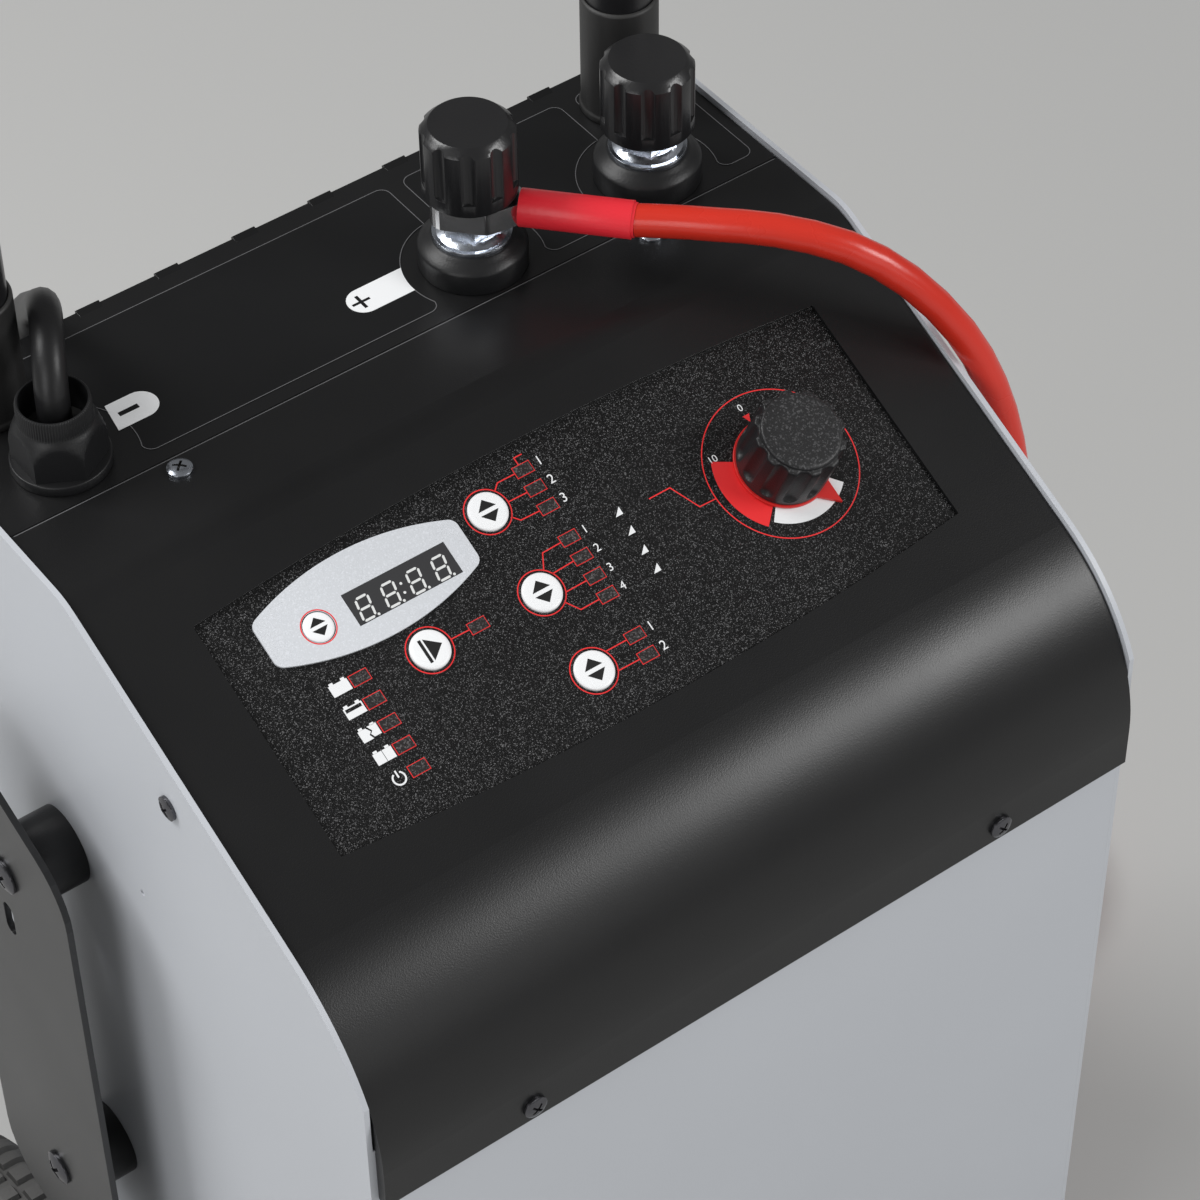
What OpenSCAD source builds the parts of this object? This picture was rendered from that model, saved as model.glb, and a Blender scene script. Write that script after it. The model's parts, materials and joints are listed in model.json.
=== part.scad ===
// Wheeled 12 V battery charger and starter: sheet steel cabinet with a sloping
// control face, output posts on the deck, two leads with clamps, wheels and a
// handle. Millimetres. Z is up, the front faces -Y, and the origin is on the
// floor under the middle of the machine.

/* [Cabinet] */
// Width over the side panels
body_w = 318.6; // [306:0.2:340]
// Height of the flat deck above the floor
deck_z = 540; // [520:1:580]
// Depth of the flat deck, from the crease to the rear edge
deck_d = 115.5; // [112:0.5:125]
// Depth of the fixed rear part of the deck
rear_deck_d = 79.7; // [78:0.1:82]
// Length of the sloping control face
slope_l = 136; // [134:0.5:142]
// Slope of the control face below level, in degrees
tilt = 24.3; // [22:0.1:26]
// Outer radius of the big front bend
bend_r = 73; // [68:1:78]
// Outer radius of the crease between deck and slope
crease_r = 25; // [18:1:30]
// How far the front bend stands ahead of the front panel
bulge = 4.5; // [4:0.1:6]
// Length of the cover's upright skirt below the front bend
skirt_h = 17.3; // [15:0.1:20]
// Height of the base tray above the floor
base_z = 40; // [36:1:46]
// Thickness of the folded sheet parts
sheet = 1.5; // [1.2:0.1:1.8]
// Thickness of the side panels
side_t = 2; // [1.6:0.1:2.4]
// How far the side panels' edges stand above the cover
proud = 2; // [1:0.1:3]
// Gap between the cover's ends and the side panels
cover_gap = 0.6; // [0.4:0.1:0.9]
// Depth of the folded flanges inside the cabinet
flange_d = 24; // [22:0.5:27]

/* [Control panel] */
// Width of the recessed window
window_w = 252; // [248:1:258]
// Height of the window at its ends
window_h = 88.6; // [86:0.2:92]
// Rise of the window's bowed long edges
window_bow = 6.2; // [3:0.1:8]
// Distance of the dial's centre below the crease
dial_down = 70; // [68:0.5:73]
// Distance of the dial's centre from the middle
dial_x = 81.8; // [78:0.1:84]
// Thickness of the printed panel plate
overlay_t = 2; // [1.6:0.1:2.4]
// Radius of the main push buttons
key_r = 7; // [6:0.1:7.4]
// Radius of the small meter button
meter_key_r = 5.3; // [4.6:0.1:5.6]
// Gap round each push button
key_gap = 0.35; // [0.3:0.05:0.5]
// Travel of the push buttons
key_travel = 0.8; // [0.5:0.1:0.8]
// Pitch of the main push buttons down the panel
key_pitch = 32; // [30:0.5:33]
// Width of the meter's window
meter_w = 40.4; // [38:0.2:42]
// Height of the meter's window
meter_h = 12.2; // [11:0.1:13]
// Depth of the circuit board below the panel's face
board_drop = 13.5; // [13:0.1:16]

/* [Dial] */
// Radius of the knob over its lobes
knob_r = 16.4; // [15:0.1:17]
// Height of the knob above the panel plate
knob_h = 26; // [23:0.5:29]
// Number of finger flutes
flutes = 12; // [8:1:14]
// Radius of the red pointer disc
pointer_r = 17; // [16.8:0.1:18]
// Angle of the pointer at rest, anticlockwise from +X
pointer_angle = -65; // [-140:1:90]
// Radius of the dial's shaft
shaft_r = 3; // [2.5:0.1:3.5]

/* [Posts and gland] */
// Distance of the posts and the gland from the rear edge
post_back = 59.8; // [58:0.2:61]
// Places of the two output posts across the deck
post_x = [40, 115];
// Radius of the posts' insulator foot
post_foot_r = 19.2; // [17:0.1:20]
// Height of the insulator foot
post_foot_h = 10; // [8:0.5:12]
// Thread radius of the output posts
stud_r = 6; // [5:0.5:6]
// Across flats of the posts' flange nuts
nut_af = 19; // [17:0.5:21]
// Radius of the posts' hand knobs
hand_r = 16.5; // [15:0.1:18]
// Place of the cable gland across the deck
gland_x = -125; // [-128:0.5:-118]
// Radius of the gland's foot
gland_foot_r = 17; // [16:0.1:18]
// Across flats of the gland's cap
gland_af = 28; // [26:0.5:29]

/* [Handle] */
// Radius of the handle tube
tube_r = 12.5; // [11:0.5:14]
// Wall of the handle tube
tube_wall = 2; // [1.5:0.1:2.5]
// Distance of the handle's legs in from the outside of the side panels
leg_inset = 28.3; // [26.3:0.5:30.3]
// Distance of the legs from the rear edge
leg_back = 22; // [21:0.5:23]
// Height of the handle's crossbar above the deck
handle_up = 262; // [230:1:300]
// Radius of the handle's bends
handle_bend = 60; // [50:1:70]
// Height of the collars round the legs
collar_h = 49; // [40:1:60]

/* [Cable cleats] */
// Length of the spacers that the leads wind round
spacer_l = 22; // [18:0.5:26]
// Radius of the spacers
spacer_r = 15; // [12:0.5:17]
// Half width of the cleat plates
cleat_r = 42; // [38:0.5:44]
// Distance between a cleat's two spacers
cleat_l = 170; // [150:1:176]
// Thickness of the cleat plates
cleat_t = 2.5; // [2:0.1:3]

/* [Wheels and feet] */
// Radius of the wheels
wheel_r = 80; // [76:1:84]
// Width of the tyres
wheel_w = 34; // [28:1:40]
// Radius of the rims
rim_r = 58; // [52:1:62]
// How far the wheels stand out behind the rear panel
wheel_over = 31; // [28:1:34]
// Gap between the side panels and the wheels
wheel_gap = 6; // [5:0.5:8]
// Radius of the axle
axle_r = 7; // [6:0.5:8]
// Radius of the rubber feet
foot_r = 18; // [15:0.5:20]

/* [Leads] */
// Radius of both output leads
cable_r = 5.8; // [5.4:0.1:6]
// Outer radius of a stored coil, to the middle of the lead
coil_r = 76.5; // [74:0.5:80]
// Distance between neighbouring turns
coil_pitch = 12.6; // [12.4:0.1:13]

/* [Hidden] */
$fn = 64;
eps = 0.01;
running = 0.05;      // radial clearance of a turning fit
loose = 0.3;         // clearance of a piece that drops into its seat
face_up = -sheet;    // the panel plate's face, measured from the cover's surface

// Folded profile, in the YZ plane
down = [-cos(tilt), -sin(tilt)];
out = [-sin(tilt), cos(tilt)];
head_h = 2.3;
half_d = (deck_d + slope_l * cos(tilt) + bend_r * (1 - sin(tilt)) + head_h + wheel_over) / 2;
rear_y = half_d - wheel_over;
crease_y = rear_y - deck_d;
crease_c = [crease_y + crease_r * tan(tilt / 2), deck_z - crease_r];
slope_end = [crease_y, deck_z] + slope_l * down;
bend_c = slope_end - bend_r * out;
cover_front = bend_c[0] - bend_r;
front_y = cover_front + bulge;
cover_edge_z = bend_c[1] - skirt_h;
seam_y = rear_y - rear_deck_d;
dial_at = [crease_y, deck_z] + dial_down * down;
in_x = body_w / 2 - side_t;
leg_x = body_w / 2 - leg_inset;
cover_x = in_x - cover_gap;
tray_t = 2;
row_y = rear_y - post_back;

// Controls, as [across, up the slope] from the dial's height
window_up = -0.8;
key_at = [[-18, 32.4], [-18, 32.4 - key_pitch - 0.8], [-18, 32.4 - 2 * key_pitch - 0.1], [-62, 0.4]];
meter_key_at = [-90, 24.4];
meter_at = [-57.6, 24.2];
badge_at = [-69.5, 27];
badge_size = [79, 17.5];
badge_bow = 7.6;
led_size = [6.4, 3.8];
led_at = concat(
    [for (v = [39.7, 32.1, 24.5]) [1.2, v]],
    [for (v = [11.6, 4, -3.9, -11.5]) [1.2, v]],
    [for (v = [-27.9, -35.7]) [1.2, v]],
    [[-43.2, 0.1]],
    [for (v = [3.4, -5.4, -14.2, -23, -31.8]) [-87.4, v]]);
board_size = [226, 88];
board_t = 1.6;
board_screw_at = [104, 33];

// Fasteners
screw_r = 2;
screw_head_r = 4.4;
deck_screw_x = 96.3;
deck_screw_y = seam_y - 7;
skirt_screw_x = 98.5;
skirt_screw_z = cover_edge_z + 7;
side_screw_at = [
    [dial_at[0] + 6.6, dial_at[1] - 16],
    [rear_y - 16, deck_z - 16],
    [front_y + 10, cover_edge_z - 60],
    [front_y + 10, base_z + 30],
    [rear_y - 12, deck_z - 180],
    [rear_y - 12, base_z + 140]];

// Running gear
wheel_y = rear_y + wheel_over - wheel_r;
wheel_x = body_w / 2 + wheel_gap;
foot_y = front_y + 32;
foot_x = 118;
hub_r = 17;
cap_t = 3;

// Cleats
cleat_y = dial_at[0] + 87.8;
cleat_z = dial_at[1] - 109.9;
cleat_x = body_w / 2 + spacer_l;
bolt_r = 4;
bolt_head_r = 7;
bolt_head_h = 3;

// Transformer, rectifier and fan
core = [150, 80, 125];
core_leg = 50;
core_yoke = 25;
core_y = -45;
core_x = -20;
core_z = base_z + tray_t + 3;
coil_wall = 24;
sink = [46, 110, 140];
sink_gap = 27.3;
sink_at = [in_x - sink_gap - sink[0], -90, base_z + tray_t];
fan_z = 200;
fan_size = 119;
fan_depth = 25.4;
fan_bore_r = 56;
fan_pitch = 105;     // between the fan's screws
guard_wire = 2.4;
guard_arm = fan_pitch / sqrt(2) + 1.7538;
vent_l = 44;
vent_gap = 23.5;     // between the fan's frame and the slots
panel_in_y = rear_y - 2 * sheet;

// Output leads, as points chosen by hand
nut_h = 9;
lug_h = 9;
lug_heading = -47;
stack_z = deck_z + post_foot_h + 2.5;
lug_z = stack_z + nut_h;
hand_h = 30;
sleeve_from = hand_r + 0.7;
sleeve_end = 57;
sleeve_l = sleeve_end - sleeve_from;
sleeve_r = 6.7;
barrel_l = 14;
lug_dir = [cos(lug_heading), sin(lug_heading), 0];
lug_mid = [post_x[0], row_y, lug_z + lug_h / 2];
sleeve_a = lug_mid + sleeve_from * lug_dir;
sleeve_b = lug_mid + sleeve_end * lug_dir;
gland_seal_top = 15;
gland_neck = 12;
red_route = [
    [88, 16, 567], [97, 6, 568], [112, -9, 568], [130, -25, 562], [147, -38, 547],
    [162, -49, 524], [171, -57, 500], [176, -63, 474], [178, -68, 444], [179, -71, 410],
    [180, -73, 360], [180, -74, 300], [180, -74, 240], [180, -74, 180], [180, -74, 130],
    [181, -73, 95], [184, -69, 62], [189, -59, 34], [196, -43, 15], [203.5, -24, 7],
    [209, -3, 5.9], [211.2, 18, 5.9], [211.5, 40, 5.9], [211.5, 66, 5.9]];
black_route = [
    [-124.8, 67.6, 562], [-123.7, 69.6, 569.5], [-121, 74, 576], [-117.3, 80.5, 580],
    [-113.2, 88.2, 581], [-109.8, 95.7, 578.5], [-107, 102.7, 573.5], [-105, 109.2, 567],
    [-102.8, 117.2, 559.5], [-101, 125.5, 552], [-99.5, 133, 542.5], [-98.5, 137.5, 530],
    [-98, 139, 512], [-98, 139.5, 480], [-98, 140, 420], [-98, 140, 350], [-98, 140, 280],
    [-98, 140, 210], [-98, 140, 150], [-98, 140.5, 105], [-98, 145, 68], [-98, 157, 36],
    [-98, 175, 14], [-98, 198, 6.5], [-97.8, 225, 5.9]];

// Stored coils: each winds in on the floor and out again on top
coil_turns = 2;
coil_lift = 12.4;
coil_z = cable_r + 0.1;
coil_in_r = coil_r - coil_pitch * coil_turns;
coil_step = 15;
red_coil_at = [288, 94];
red_entry = 180;
red_sweep = 1485;
black_coil_at = [-22, 240];
black_entry = 170;
black_sweep = 1560;
tail_l = 45;

// Battery clamps, in their own frame: the hinge at the origin, the jaws along +X
clamp_h = 26;
clamp_boss = [-108, -33];
clamp_boss_r = 7.5;
barrel_r = 9;
clamp_pin_r = 3;
ear_h = 7.5;

// ---------- helpers ----------

// A plate that lies in the YZ plane, from x towards +X
module in_yz(x, w) translate([x, 0, 0]) rotate([90, 0, 90]) linear_extrude(w) children();

// The same on both sides of the machine
module both_sides() { children(); mirror([1, 0, 0]) children(); }

// Stands a piece on the sloping face, at the dial's height
module on_panel() translate([0, dial_at[0], dial_at[1]]) rotate([tilt, 0, 0]) children();

// Everything under the folded profile, grown or shrunk by off, down to z = low
module profile(off, low) {
    foot = bend_c[0] - bend_r - off;
    inner_r = max(crease_r + off, 1);
    polygon([[rear_y, low], [rear_y, deck_z + off], [crease_c[0], deck_z + off],
        crease_c + inner_r * out, bend_c + (bend_r + off) * out, bend_c,
        [foot, bend_c[1]], [foot, low]]);
    translate(crease_c) circle(inner_r);
    translate(bend_c) circle(bend_r + off);
}

// A rectangle whose long edges bow outwards
module barrel(w, h, bow) {
    r = (w * w / 4 + bow * bow) / (2 * bow);
    intersection() {
        square([w, h + 3 * bow], center = true);
        translate([0, h / 2 + bow - r]) circle(r, $fn = 256);
        translate([0, r - h / 2 - bow]) circle(r, $fn = 256);
    }
}

// A ring or tube along +Z
module ring(r_out, r_in, h) difference() {
    cylinder(r = r_out, h = h);
    translate([0, 0, -1]) cylinder(r = r_in, h = h + 2);
}

// A pan head screw with a cross recess, its head above z = 0
module pan_screw(head_r, head, shank_r, shank_l) {
    difference() {
        intersection() {
            cylinder(r = head_r, h = head);
            translate([0, 0, head - 2.2 * head_r]) sphere(r = 2.2 * head_r);
        }
        for (a = [0, 90]) rotate([0, 0, a + 45])
            translate([-head_r * 0.55, -head_r * 0.1, head * 0.45]) cube([head_r * 1.1, head_r * 0.2, head]);
    }
    translate([0, 0, -shank_l]) cylinder(r = shank_r, h = shank_l + eps);
}

// A hexagon bar
module hex(af, h) cylinder(r = af / 2 / cos(30), h = h, $fn = 6);

// ---------- swept leads ----------

function unit(v) = v / norm(v);
function blend4(a, b, c, d, t) = 0.5 * ((2 * b) + (c - a) * t + (2 * a - 5 * b + 4 * c - d) * t * t
    + (3 * b - a - 3 * c + d) * t * t * t);
// A smooth curve through the points p, with n steps between neighbours
function smooth_path(p, n) = concat([for (i = [0 : len(p) - 2]) for (k = [0 : n - 1])
    blend4(p[max(i - 1, 0)], p[i], p[i + 1], p[min(i + 2, len(p) - 1)], k / n)], [p[len(p) - 1]]);
function tangents(p) = [for (i = [0 : len(p) - 1]) unit(p[min(i + 1, len(p) - 1)] - p[max(i - 1, 0)])];
// Carries a normal along the curve without twist
function carried(t, i, v) = unit(v - (v * t[i]) * t[i]);
function normals(t, i, v) = i == len(t) ? [] :
    let (n = carried(t, i, v)) concat([n], normals(t, i + 1, n));

// One tube along the points p, closed at both ends
module swept(p, r, sides, first = undef, last = undef) {
    t0 = tangents(p);
    n = len(p);
    t = [for (i = [0 : n - 1]) i == 0 && first != undef ? first : i == n - 1 && last != undef ? last : t0[i]];
    side = abs(t[0][2]) > 0.8 ? [1, 0, 0] : [0, 0, 1];
    u = normals(t, 0, side);
    pts = [for (i = [0 : n - 1]) for (k = [0 : sides - 1])
        let (a = 360 * k / sides, w = cross(t[i], u[i])) p[i] + r * (cos(a) * u[i] + sin(a) * w)];
    caps = [p[0], p[n - 1]];
    at = function (i, k) i * sides + k % sides;
    faces = concat(
        [for (i = [0 : n - 2]) for (k = [0 : sides - 1]) [at(i, k), at(i + 1, k), at(i + 1, k + 1)]],
        [for (i = [0 : n - 2]) for (k = [0 : sides - 1]) [at(i, k), at(i + 1, k + 1), at(i, k + 1)]],
        [for (k = [0 : sides - 1]) [n * sides, at(0, k), at(0, k + 1)]],
        [for (k = [0 : sides - 1]) [n * sides + 1, at(n - 1, k + 1), at(n - 1, k)]]);
    polyhedron(points = concat(pts, caps), faces = faces, convexity = 8);
}

// Middle line of a stored coil, clockwise: in on the floor, up in half a turn, out on top
function coil_climb(a) = a < -90 ? 0 : a > 90 ? 1 : (a + 90) / 180;
function coil_point(at, entry, a) = let (
    off = a - 360 * coil_turns,
    r = coil_in_r + coil_pitch * abs(off) / 360,
    phi = entry - a)
    [at[0] + r * cos(phi), at[1] + r * sin(phi), coil_z + coil_lift * coil_climb(off)];
function coil_line(at, entry, sweep) = [for (a = [0 : coil_step : sweep]) coil_point(at, entry, a)];
function coil_dir(at, entry, a) = unit(coil_point(at, entry, a + 0.5) - coil_point(at, entry, a - 0.5));
function coil_gap(p) = min([for (i = [0 : len(p) - 16]) for (j = [i + 12 : len(p) - 1]) norm(p[i] - p[j])])
    - 2 * cable_r;
function heading(d) = atan2(d[1], d[0]);

red_end = coil_point(red_coil_at, red_entry, red_sweep);
red_turned = heading(coil_dir(red_coil_at, red_entry, red_sweep));
black_end = coil_point(black_coil_at, black_entry, black_sweep);
black_turned = heading(coil_dir(black_coil_at, black_entry, black_sweep));
function turned(v, a) = [v[0] * cos(a) - v[1] * sin(a), v[0] * sin(a) + v[1] * cos(a)];
// Where a clamp's cable boss lies: straight on from the end of the coil
function tail_end(p, a) = [p[0] + tail_l * cos(a), p[1] + tail_l * sin(a), clamp_h / 2];
function tail(p, a) = let (d = [cos(a), sin(a), 0], q = tail_end(p, a))
    [p, p + 12 * d, (p + q) / 2, q - 12 * d, q];
// The clamp's hinge, from its boss
function hinge_at(p, a) = let (q = tail_end(p, a), b = turned(clamp_boss, a)) [q[0] - b[0], q[1] - b[1]];

red_line = coil_line(red_coil_at, red_entry, red_sweep);
black_line = coil_line(black_coil_at, black_entry, black_sweep);
red_path = concat([sleeve_b], red_route, [red_line[0]]);
black_path = concat([[gland_x, row_y, deck_z + gland_seal_top]], black_route, [black_line[0]]);
echo(red_coil_gap = coil_gap(red_line), black_coil_gap = coil_gap(black_line));
echo(red_hinge = hinge_at(red_end, red_turned), red_turned = red_turned,
    black_hinge = hinge_at(black_end, black_turned), black_turned = black_turned);

// A convex outline whose corners p are rounded to the radii r
function corner(a, b, c, r, n = 6) = let (
    u = (a - b) / norm(a - b), w = (c - b) / norm(c - b), half = acos(u * w) / 2,
    m = b + (u + w) / norm(u + w) * r / sin(half), s = b + u * r / tan(half) - m, e = b + w * r / tan(half) - m,
    a0 = atan2(s[1], s[0]), d = atan2(s[0] * e[1] - s[1] * e[0], s * e))
    [for (k = [0 : n]) m + r * [cos(a0 + d * k / n), sin(a0 + d * k / n)]];
module rounded(p, r) {
    n = len(p);
    polygon([for (i = [0 : n - 1]) each r[i] == 0 ? [p[i]]
        : corner(p[(i + n - 1) % n], p[i], p[(i + 1) % n], r[i])]);
}
module rounded_box(w, h, r) rounded([[w / 2, h / 2], [-w / 2, h / 2], [-w / 2, -h / 2], [w / 2, -h / 2]], [r, r, r, r]);

// ---------- cabinet ----------

module side_panel(hole) {
    difference() {
        in_yz(in_x, side_t) difference() {
            intersection() {
                profile(proud, base_z);
                translate([front_y, 0]) square([rear_y - front_y, 2 * deck_z]);
            }
            for (p = side_screw_at) translate(p) circle(screw_r + 0.1);
            translate([wheel_y, wheel_r]) circle(axle_r + 0.1);
            for (k = [0, 1]) translate([cleat_y, cleat_z - k * cleat_l]) circle(bolt_r + 0.1);
            if (hole) translate([dial_at[0] + 34.8, dial_at[1] - 85.8]) circle(1.2);
        }
    }
}
module side_panel_right() color("#c6cbd0") side_panel(false);
module side_panel_left() color("#c6cbd0") mirror([1, 0, 0]) side_panel(true);

front_top = bend_c[1] + 8;
module front_panel() color("#b9bec4") difference() {
    translate([0, 0, base_z]) union() {
        linear_extrude(front_top - base_z) polygon([[-in_x, front_y], [in_x, front_y],
            [in_x, front_y + flange_d], [in_x - sheet, front_y + flange_d], [in_x - sheet, front_y + sheet],
            [sheet - in_x, front_y + sheet], [sheet - in_x, front_y + flange_d], [-in_x, front_y + flange_d]]);
    }
    for (s = [-1, 1]) translate([s * skirt_screw_x, front_y - 1, skirt_screw_z]) rotate([-90, 0, 0])
        cylinder(r = screw_r + 0.1, h = sheet + 2);
    for (p = side_screw_at) if (p[0] < front_y + flange_d && p[1] < front_top)
        translate([-body_w, p[0], p[1]]) rotate([0, 90, 0]) cylinder(r = screw_r + 0.1, h = 2 * body_w);
    // Room for the tray's upturned front edge and its sides
    tray_space();
}

tray_side = 30;
tray_front = front_y + sheet;
tray_rear = rear_y - 2 * sheet;
module tray_space() difference() {
    translate([-in_x - 1, tray_front + eps, base_z - 1]) cube([2 * in_x + 2, rear_y - front_y, tray_side + 1.2]);
    translate([-in_x, front_y - 1, base_z - 2]) cube([2 * in_x, 1 + sheet, 400]);
}
module base_tray() color("#9aa0a6") difference() {
    translate([-in_x, tray_front, base_z]) cube([2 * in_x, tray_rear - tray_front, tray_side]);
    translate([tray_t - in_x, tray_front + tray_t, base_z + tray_t])
        cube([2 * (in_x - tray_t), tray_rear - tray_front - 2 * tray_t, tray_side]);
    for (s = [-1, 1]) translate([s * foot_x, foot_y, base_z - 1]) cylinder(r = 4.2, h = 4);
    for (p = side_screw_at) translate([-body_w, p[0], p[1]]) rotate([0, 90, 0])
        cylinder(r = screw_r + 0.1, h = 2 * body_w);
}

// Cooling slots beside the fan
module vent_slots() for (s = [-1, 1]) for (k = [0 : 7])
    translate([s * (fan_size / 2 + vent_gap + vent_l / 2), 0, fan_z - 42 + 12 * k]) rotate([90, 0, 0])
        linear_extrude(20, center = true) rounded_box(vent_l, 4, 1.9);

module rear_panel() color("#c0c5ca") difference() {
    translate([0, 0, base_z]) union() {
        linear_extrude(deck_z - 2 * sheet - base_z) polygon([[-in_x, rear_y - sheet], [-in_x, rear_y - flange_d],
            [sheet - in_x, rear_y - flange_d], [sheet - in_x, panel_in_y], [in_x - sheet, panel_in_y],
            [in_x - sheet, rear_y - flange_d], [in_x, rear_y - flange_d], [in_x, rear_y - sheet]]);
    }
    translate([0, panel_in_y - 1, fan_z]) rotate([-90, 0, 0]) cylinder(r = fan_bore_r, h = sheet + 2);
    for (x = [-1, 1]) for (z = [-1, 1]) translate([x * fan_pitch / 2, panel_in_y - 1, fan_z + z * fan_pitch / 2]) rotate([-90, 0, 0])
        cylinder(r = screw_r + 0.1, h = sheet + 2);
    translate([0, rear_y, 0]) vent_slots();
    translate([mains_at[0], panel_in_y - 1, mains_at[1]]) rotate([-90, 0, 0]) cylinder(r = mains_r + 0.1, h = sheet + 2);
    for (p = side_screw_at) if (p[0] > rear_y - flange_d) translate([-body_w, p[0], p[1]]) rotate([0, 90, 0])
        cylinder(r = screw_r + 0.1, h = 2 * body_w);
    // Room for the tray's sides
    difference() {
        translate([-in_x - 1, 0, base_z - 1]) cube([2 * in_x + 2, panel_in_y, tray_side + 1.2]);
        translate([-body_w, -500, 0]) cube([2 * body_w, 1, 1]);
    }
}
mains_at = [104, 92];
mains_r = 9;

// Pressed darts that stiffen the fold at the rear edge
dart_pitch = 31.6;
dart_w = 9;
dart_h = 1;
dart_l = 5;
module darts() for (k = [0 : 7]) translate([(k - 3.5) * dart_pitch - dart_w / 2, 0, 0])
    in_yz(0, dart_w) polygon([[rear_y - dart_l, deck_z - 0.4], [rear_y - 0.4, deck_z + dart_h - 0.3],
        [rear_y + dart_h - 0.3, deck_z - 0.4], [rear_y - 0.4, deck_z - dart_l], [rear_y - 1, deck_z - 1]]);

lap = 16;
module top_plate() color("#17181a") difference() {
    union() {
        in_yz(-cover_x, 2 * cover_x) polygon([[seam_y, deck_z], [rear_y - 0.8, deck_z], [rear_y, deck_z - 0.8],
            [rear_y, deck_z - flange_d], [rear_y - sheet, deck_z - flange_d], [rear_y - sheet, deck_z - sheet],
            [seam_y + 3, deck_z - sheet], [seam_y + 3, deck_z - 2 * sheet], [seam_y - lap, deck_z - 2 * sheet],
            [seam_y - lap, deck_z - sheet], [seam_y, deck_z - sheet]]);
        darts();
    }
    for (x = post_x) translate([x, row_y, deck_z - 5]) cylinder(r = post_neck_r + 0.1, h = 10);
    translate([gland_x, row_y, deck_z - 5]) cylinder(r = gland_thread_r + 0.1, h = 10);
    for (s = [-1, 1]) translate([s * leg_x, rear_y - leg_back, deck_z - 5]) cylinder(r = tube_r + 0.2, h = 10);
    for (s = [-1, 1]) translate([s * deck_screw_x, deck_screw_y, deck_z - 5]) cylinder(r = screw_r + 0.1, h = 10);
}
post_neck_r = 12;
gland_thread_r = 10;

module cover_region(grow) translate([-400, cover_edge_z]) square([400 + seam_y - 0.3 - grow, 400]);
module window_shape(grow) translate([0, window_up]) barrel(window_w + 2 * grow, window_h + 2 * grow, window_bow);
module control_cover() color("#1b1c1e") difference() {
    union() {
        in_yz(-cover_x, 2 * cover_x) union() {
            intersection() {
                difference() { profile(0, 0); profile(-sheet, -1); }
                cover_region(0);
            }
            translate([cover_front, cover_edge_z]) square([bulge, sheet]);
        }
        both_sides() in_yz(cover_x - sheet, sheet) intersection() {
            difference() { profile(0, 0); profile(-flange_d, -1); }
            cover_region(0);
        }
    }
    on_panel() translate([0, 0, -10]) linear_extrude(20) window_shape(0);
    for (s = [-1, 1]) {
        translate([s * deck_screw_x, deck_screw_y, deck_z - 5]) cylinder(r = screw_r + 0.1, h = 10);
        translate([s * skirt_screw_x, cover_front - 1, skirt_screw_z]) rotate([-90, 0, 0])
            cylinder(r = screw_r + 0.1, h = 4);
    }
    for (p = side_screw_at) translate([-body_w, p[0], p[1]]) rotate([0, 90, 0])
        cylinder(r = screw_r + 0.1, h = 2 * body_w);
    // The flanges stop short of the front panel and of the fixed deck's lap
    both_sides() translate([cover_x - sheet - 1, front_y - 0.3, 0]) cube([sheet + 2, flange_d + 0.6, front_top + 0.5]);
    both_sides() translate([cover_x - sheet - 1, seam_y - lap - 0.5, deck_z - 2 * flange_d])
        cube([sheet + 2, lap + 5, 2 * flange_d - sheet]);
}

module cover_screws() color("#c9cdd2") {
    for (s = [-1, 1]) {
        translate([s * deck_screw_x, deck_screw_y, deck_z]) pan_screw(screw_head_r, head_h, screw_r, 9);
        translate([s * skirt_screw_x, cover_front, skirt_screw_z]) rotate([90, 0, 0])
            pan_screw(screw_head_r, head_h, screw_r, 9);
    }
}
module side_screws() color("#2a2b2d") both_sides() for (p = side_screw_at)
    translate([body_w / 2, p[0], p[1]]) rotate([0, 90, 0]) pan_screw(screw_head_r, head_h, screw_r, side_t + 6);

// ---------- control panel ----------

plate_z = face_up - overlay_t;
board_z = face_up - board_drop;
switch_h = 5;
key_flange = 1.4;
key_flange_h = 1.2;
key_rise = 1.2;
lip = 7;
module led_holes(grow, h) for (p = led_at) translate([p[0], p[1], 0])
    linear_extrude(h) square([led_size[0] + grow, led_size[1] + grow], center = true);
bush_r = 4.5;
module control_overlay() color("#101113") on_panel() difference() {
    translate([0, 0, plate_z]) linear_extrude(overlay_t) translate([0, window_up])
        square([window_w + 2 * lip, window_h + 2 * window_bow + 2], center = true);
    translate([0, 0, plate_z - 1]) {
        for (p = key_at) translate(p) cylinder(r = key_r + key_gap, h = overlay_t + 2);
        translate(meter_key_at) cylinder(r = meter_key_r + key_gap, h = overlay_t + 2);
        led_holes(0.2, overlay_t + 2);
        translate(meter_at) linear_extrude(overlay_t + 2) square([meter_w, meter_h], center = true);
        translate([dial_x, 0]) cylinder(r = bush_r + 0.1, h = overlay_t + 2);
    }
}
badge_t = 0.8;
module meter_badge() color("#c9ccd0") on_panel() difference() {
    translate([badge_at[0], badge_at[1], face_up]) linear_extrude(badge_t) barrel(badge_size[0], badge_size[1], badge_bow);
    translate([meter_at[0], meter_at[1], face_up - 1]) linear_extrude(3) square([meter_w, meter_h], center = true);
    translate([meter_key_at[0], meter_key_at[1], face_up - 1]) cylinder(r = meter_key_r + key_gap, h = 3);
}
module meter_lens() color("#0c0d0e") on_panel() translate([meter_at[0], meter_at[1], plate_z])
    linear_extrude(overlay_t + badge_t - 0.1) square([meter_w - 0.2, meter_h - 0.2], center = true);
module meter_module() color("#303236") on_panel() translate([meter_at[0], meter_at[1], board_z])
    linear_extrude(plate_z - board_z) square([meter_w + 6, meter_h + 6], center = true);

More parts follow.
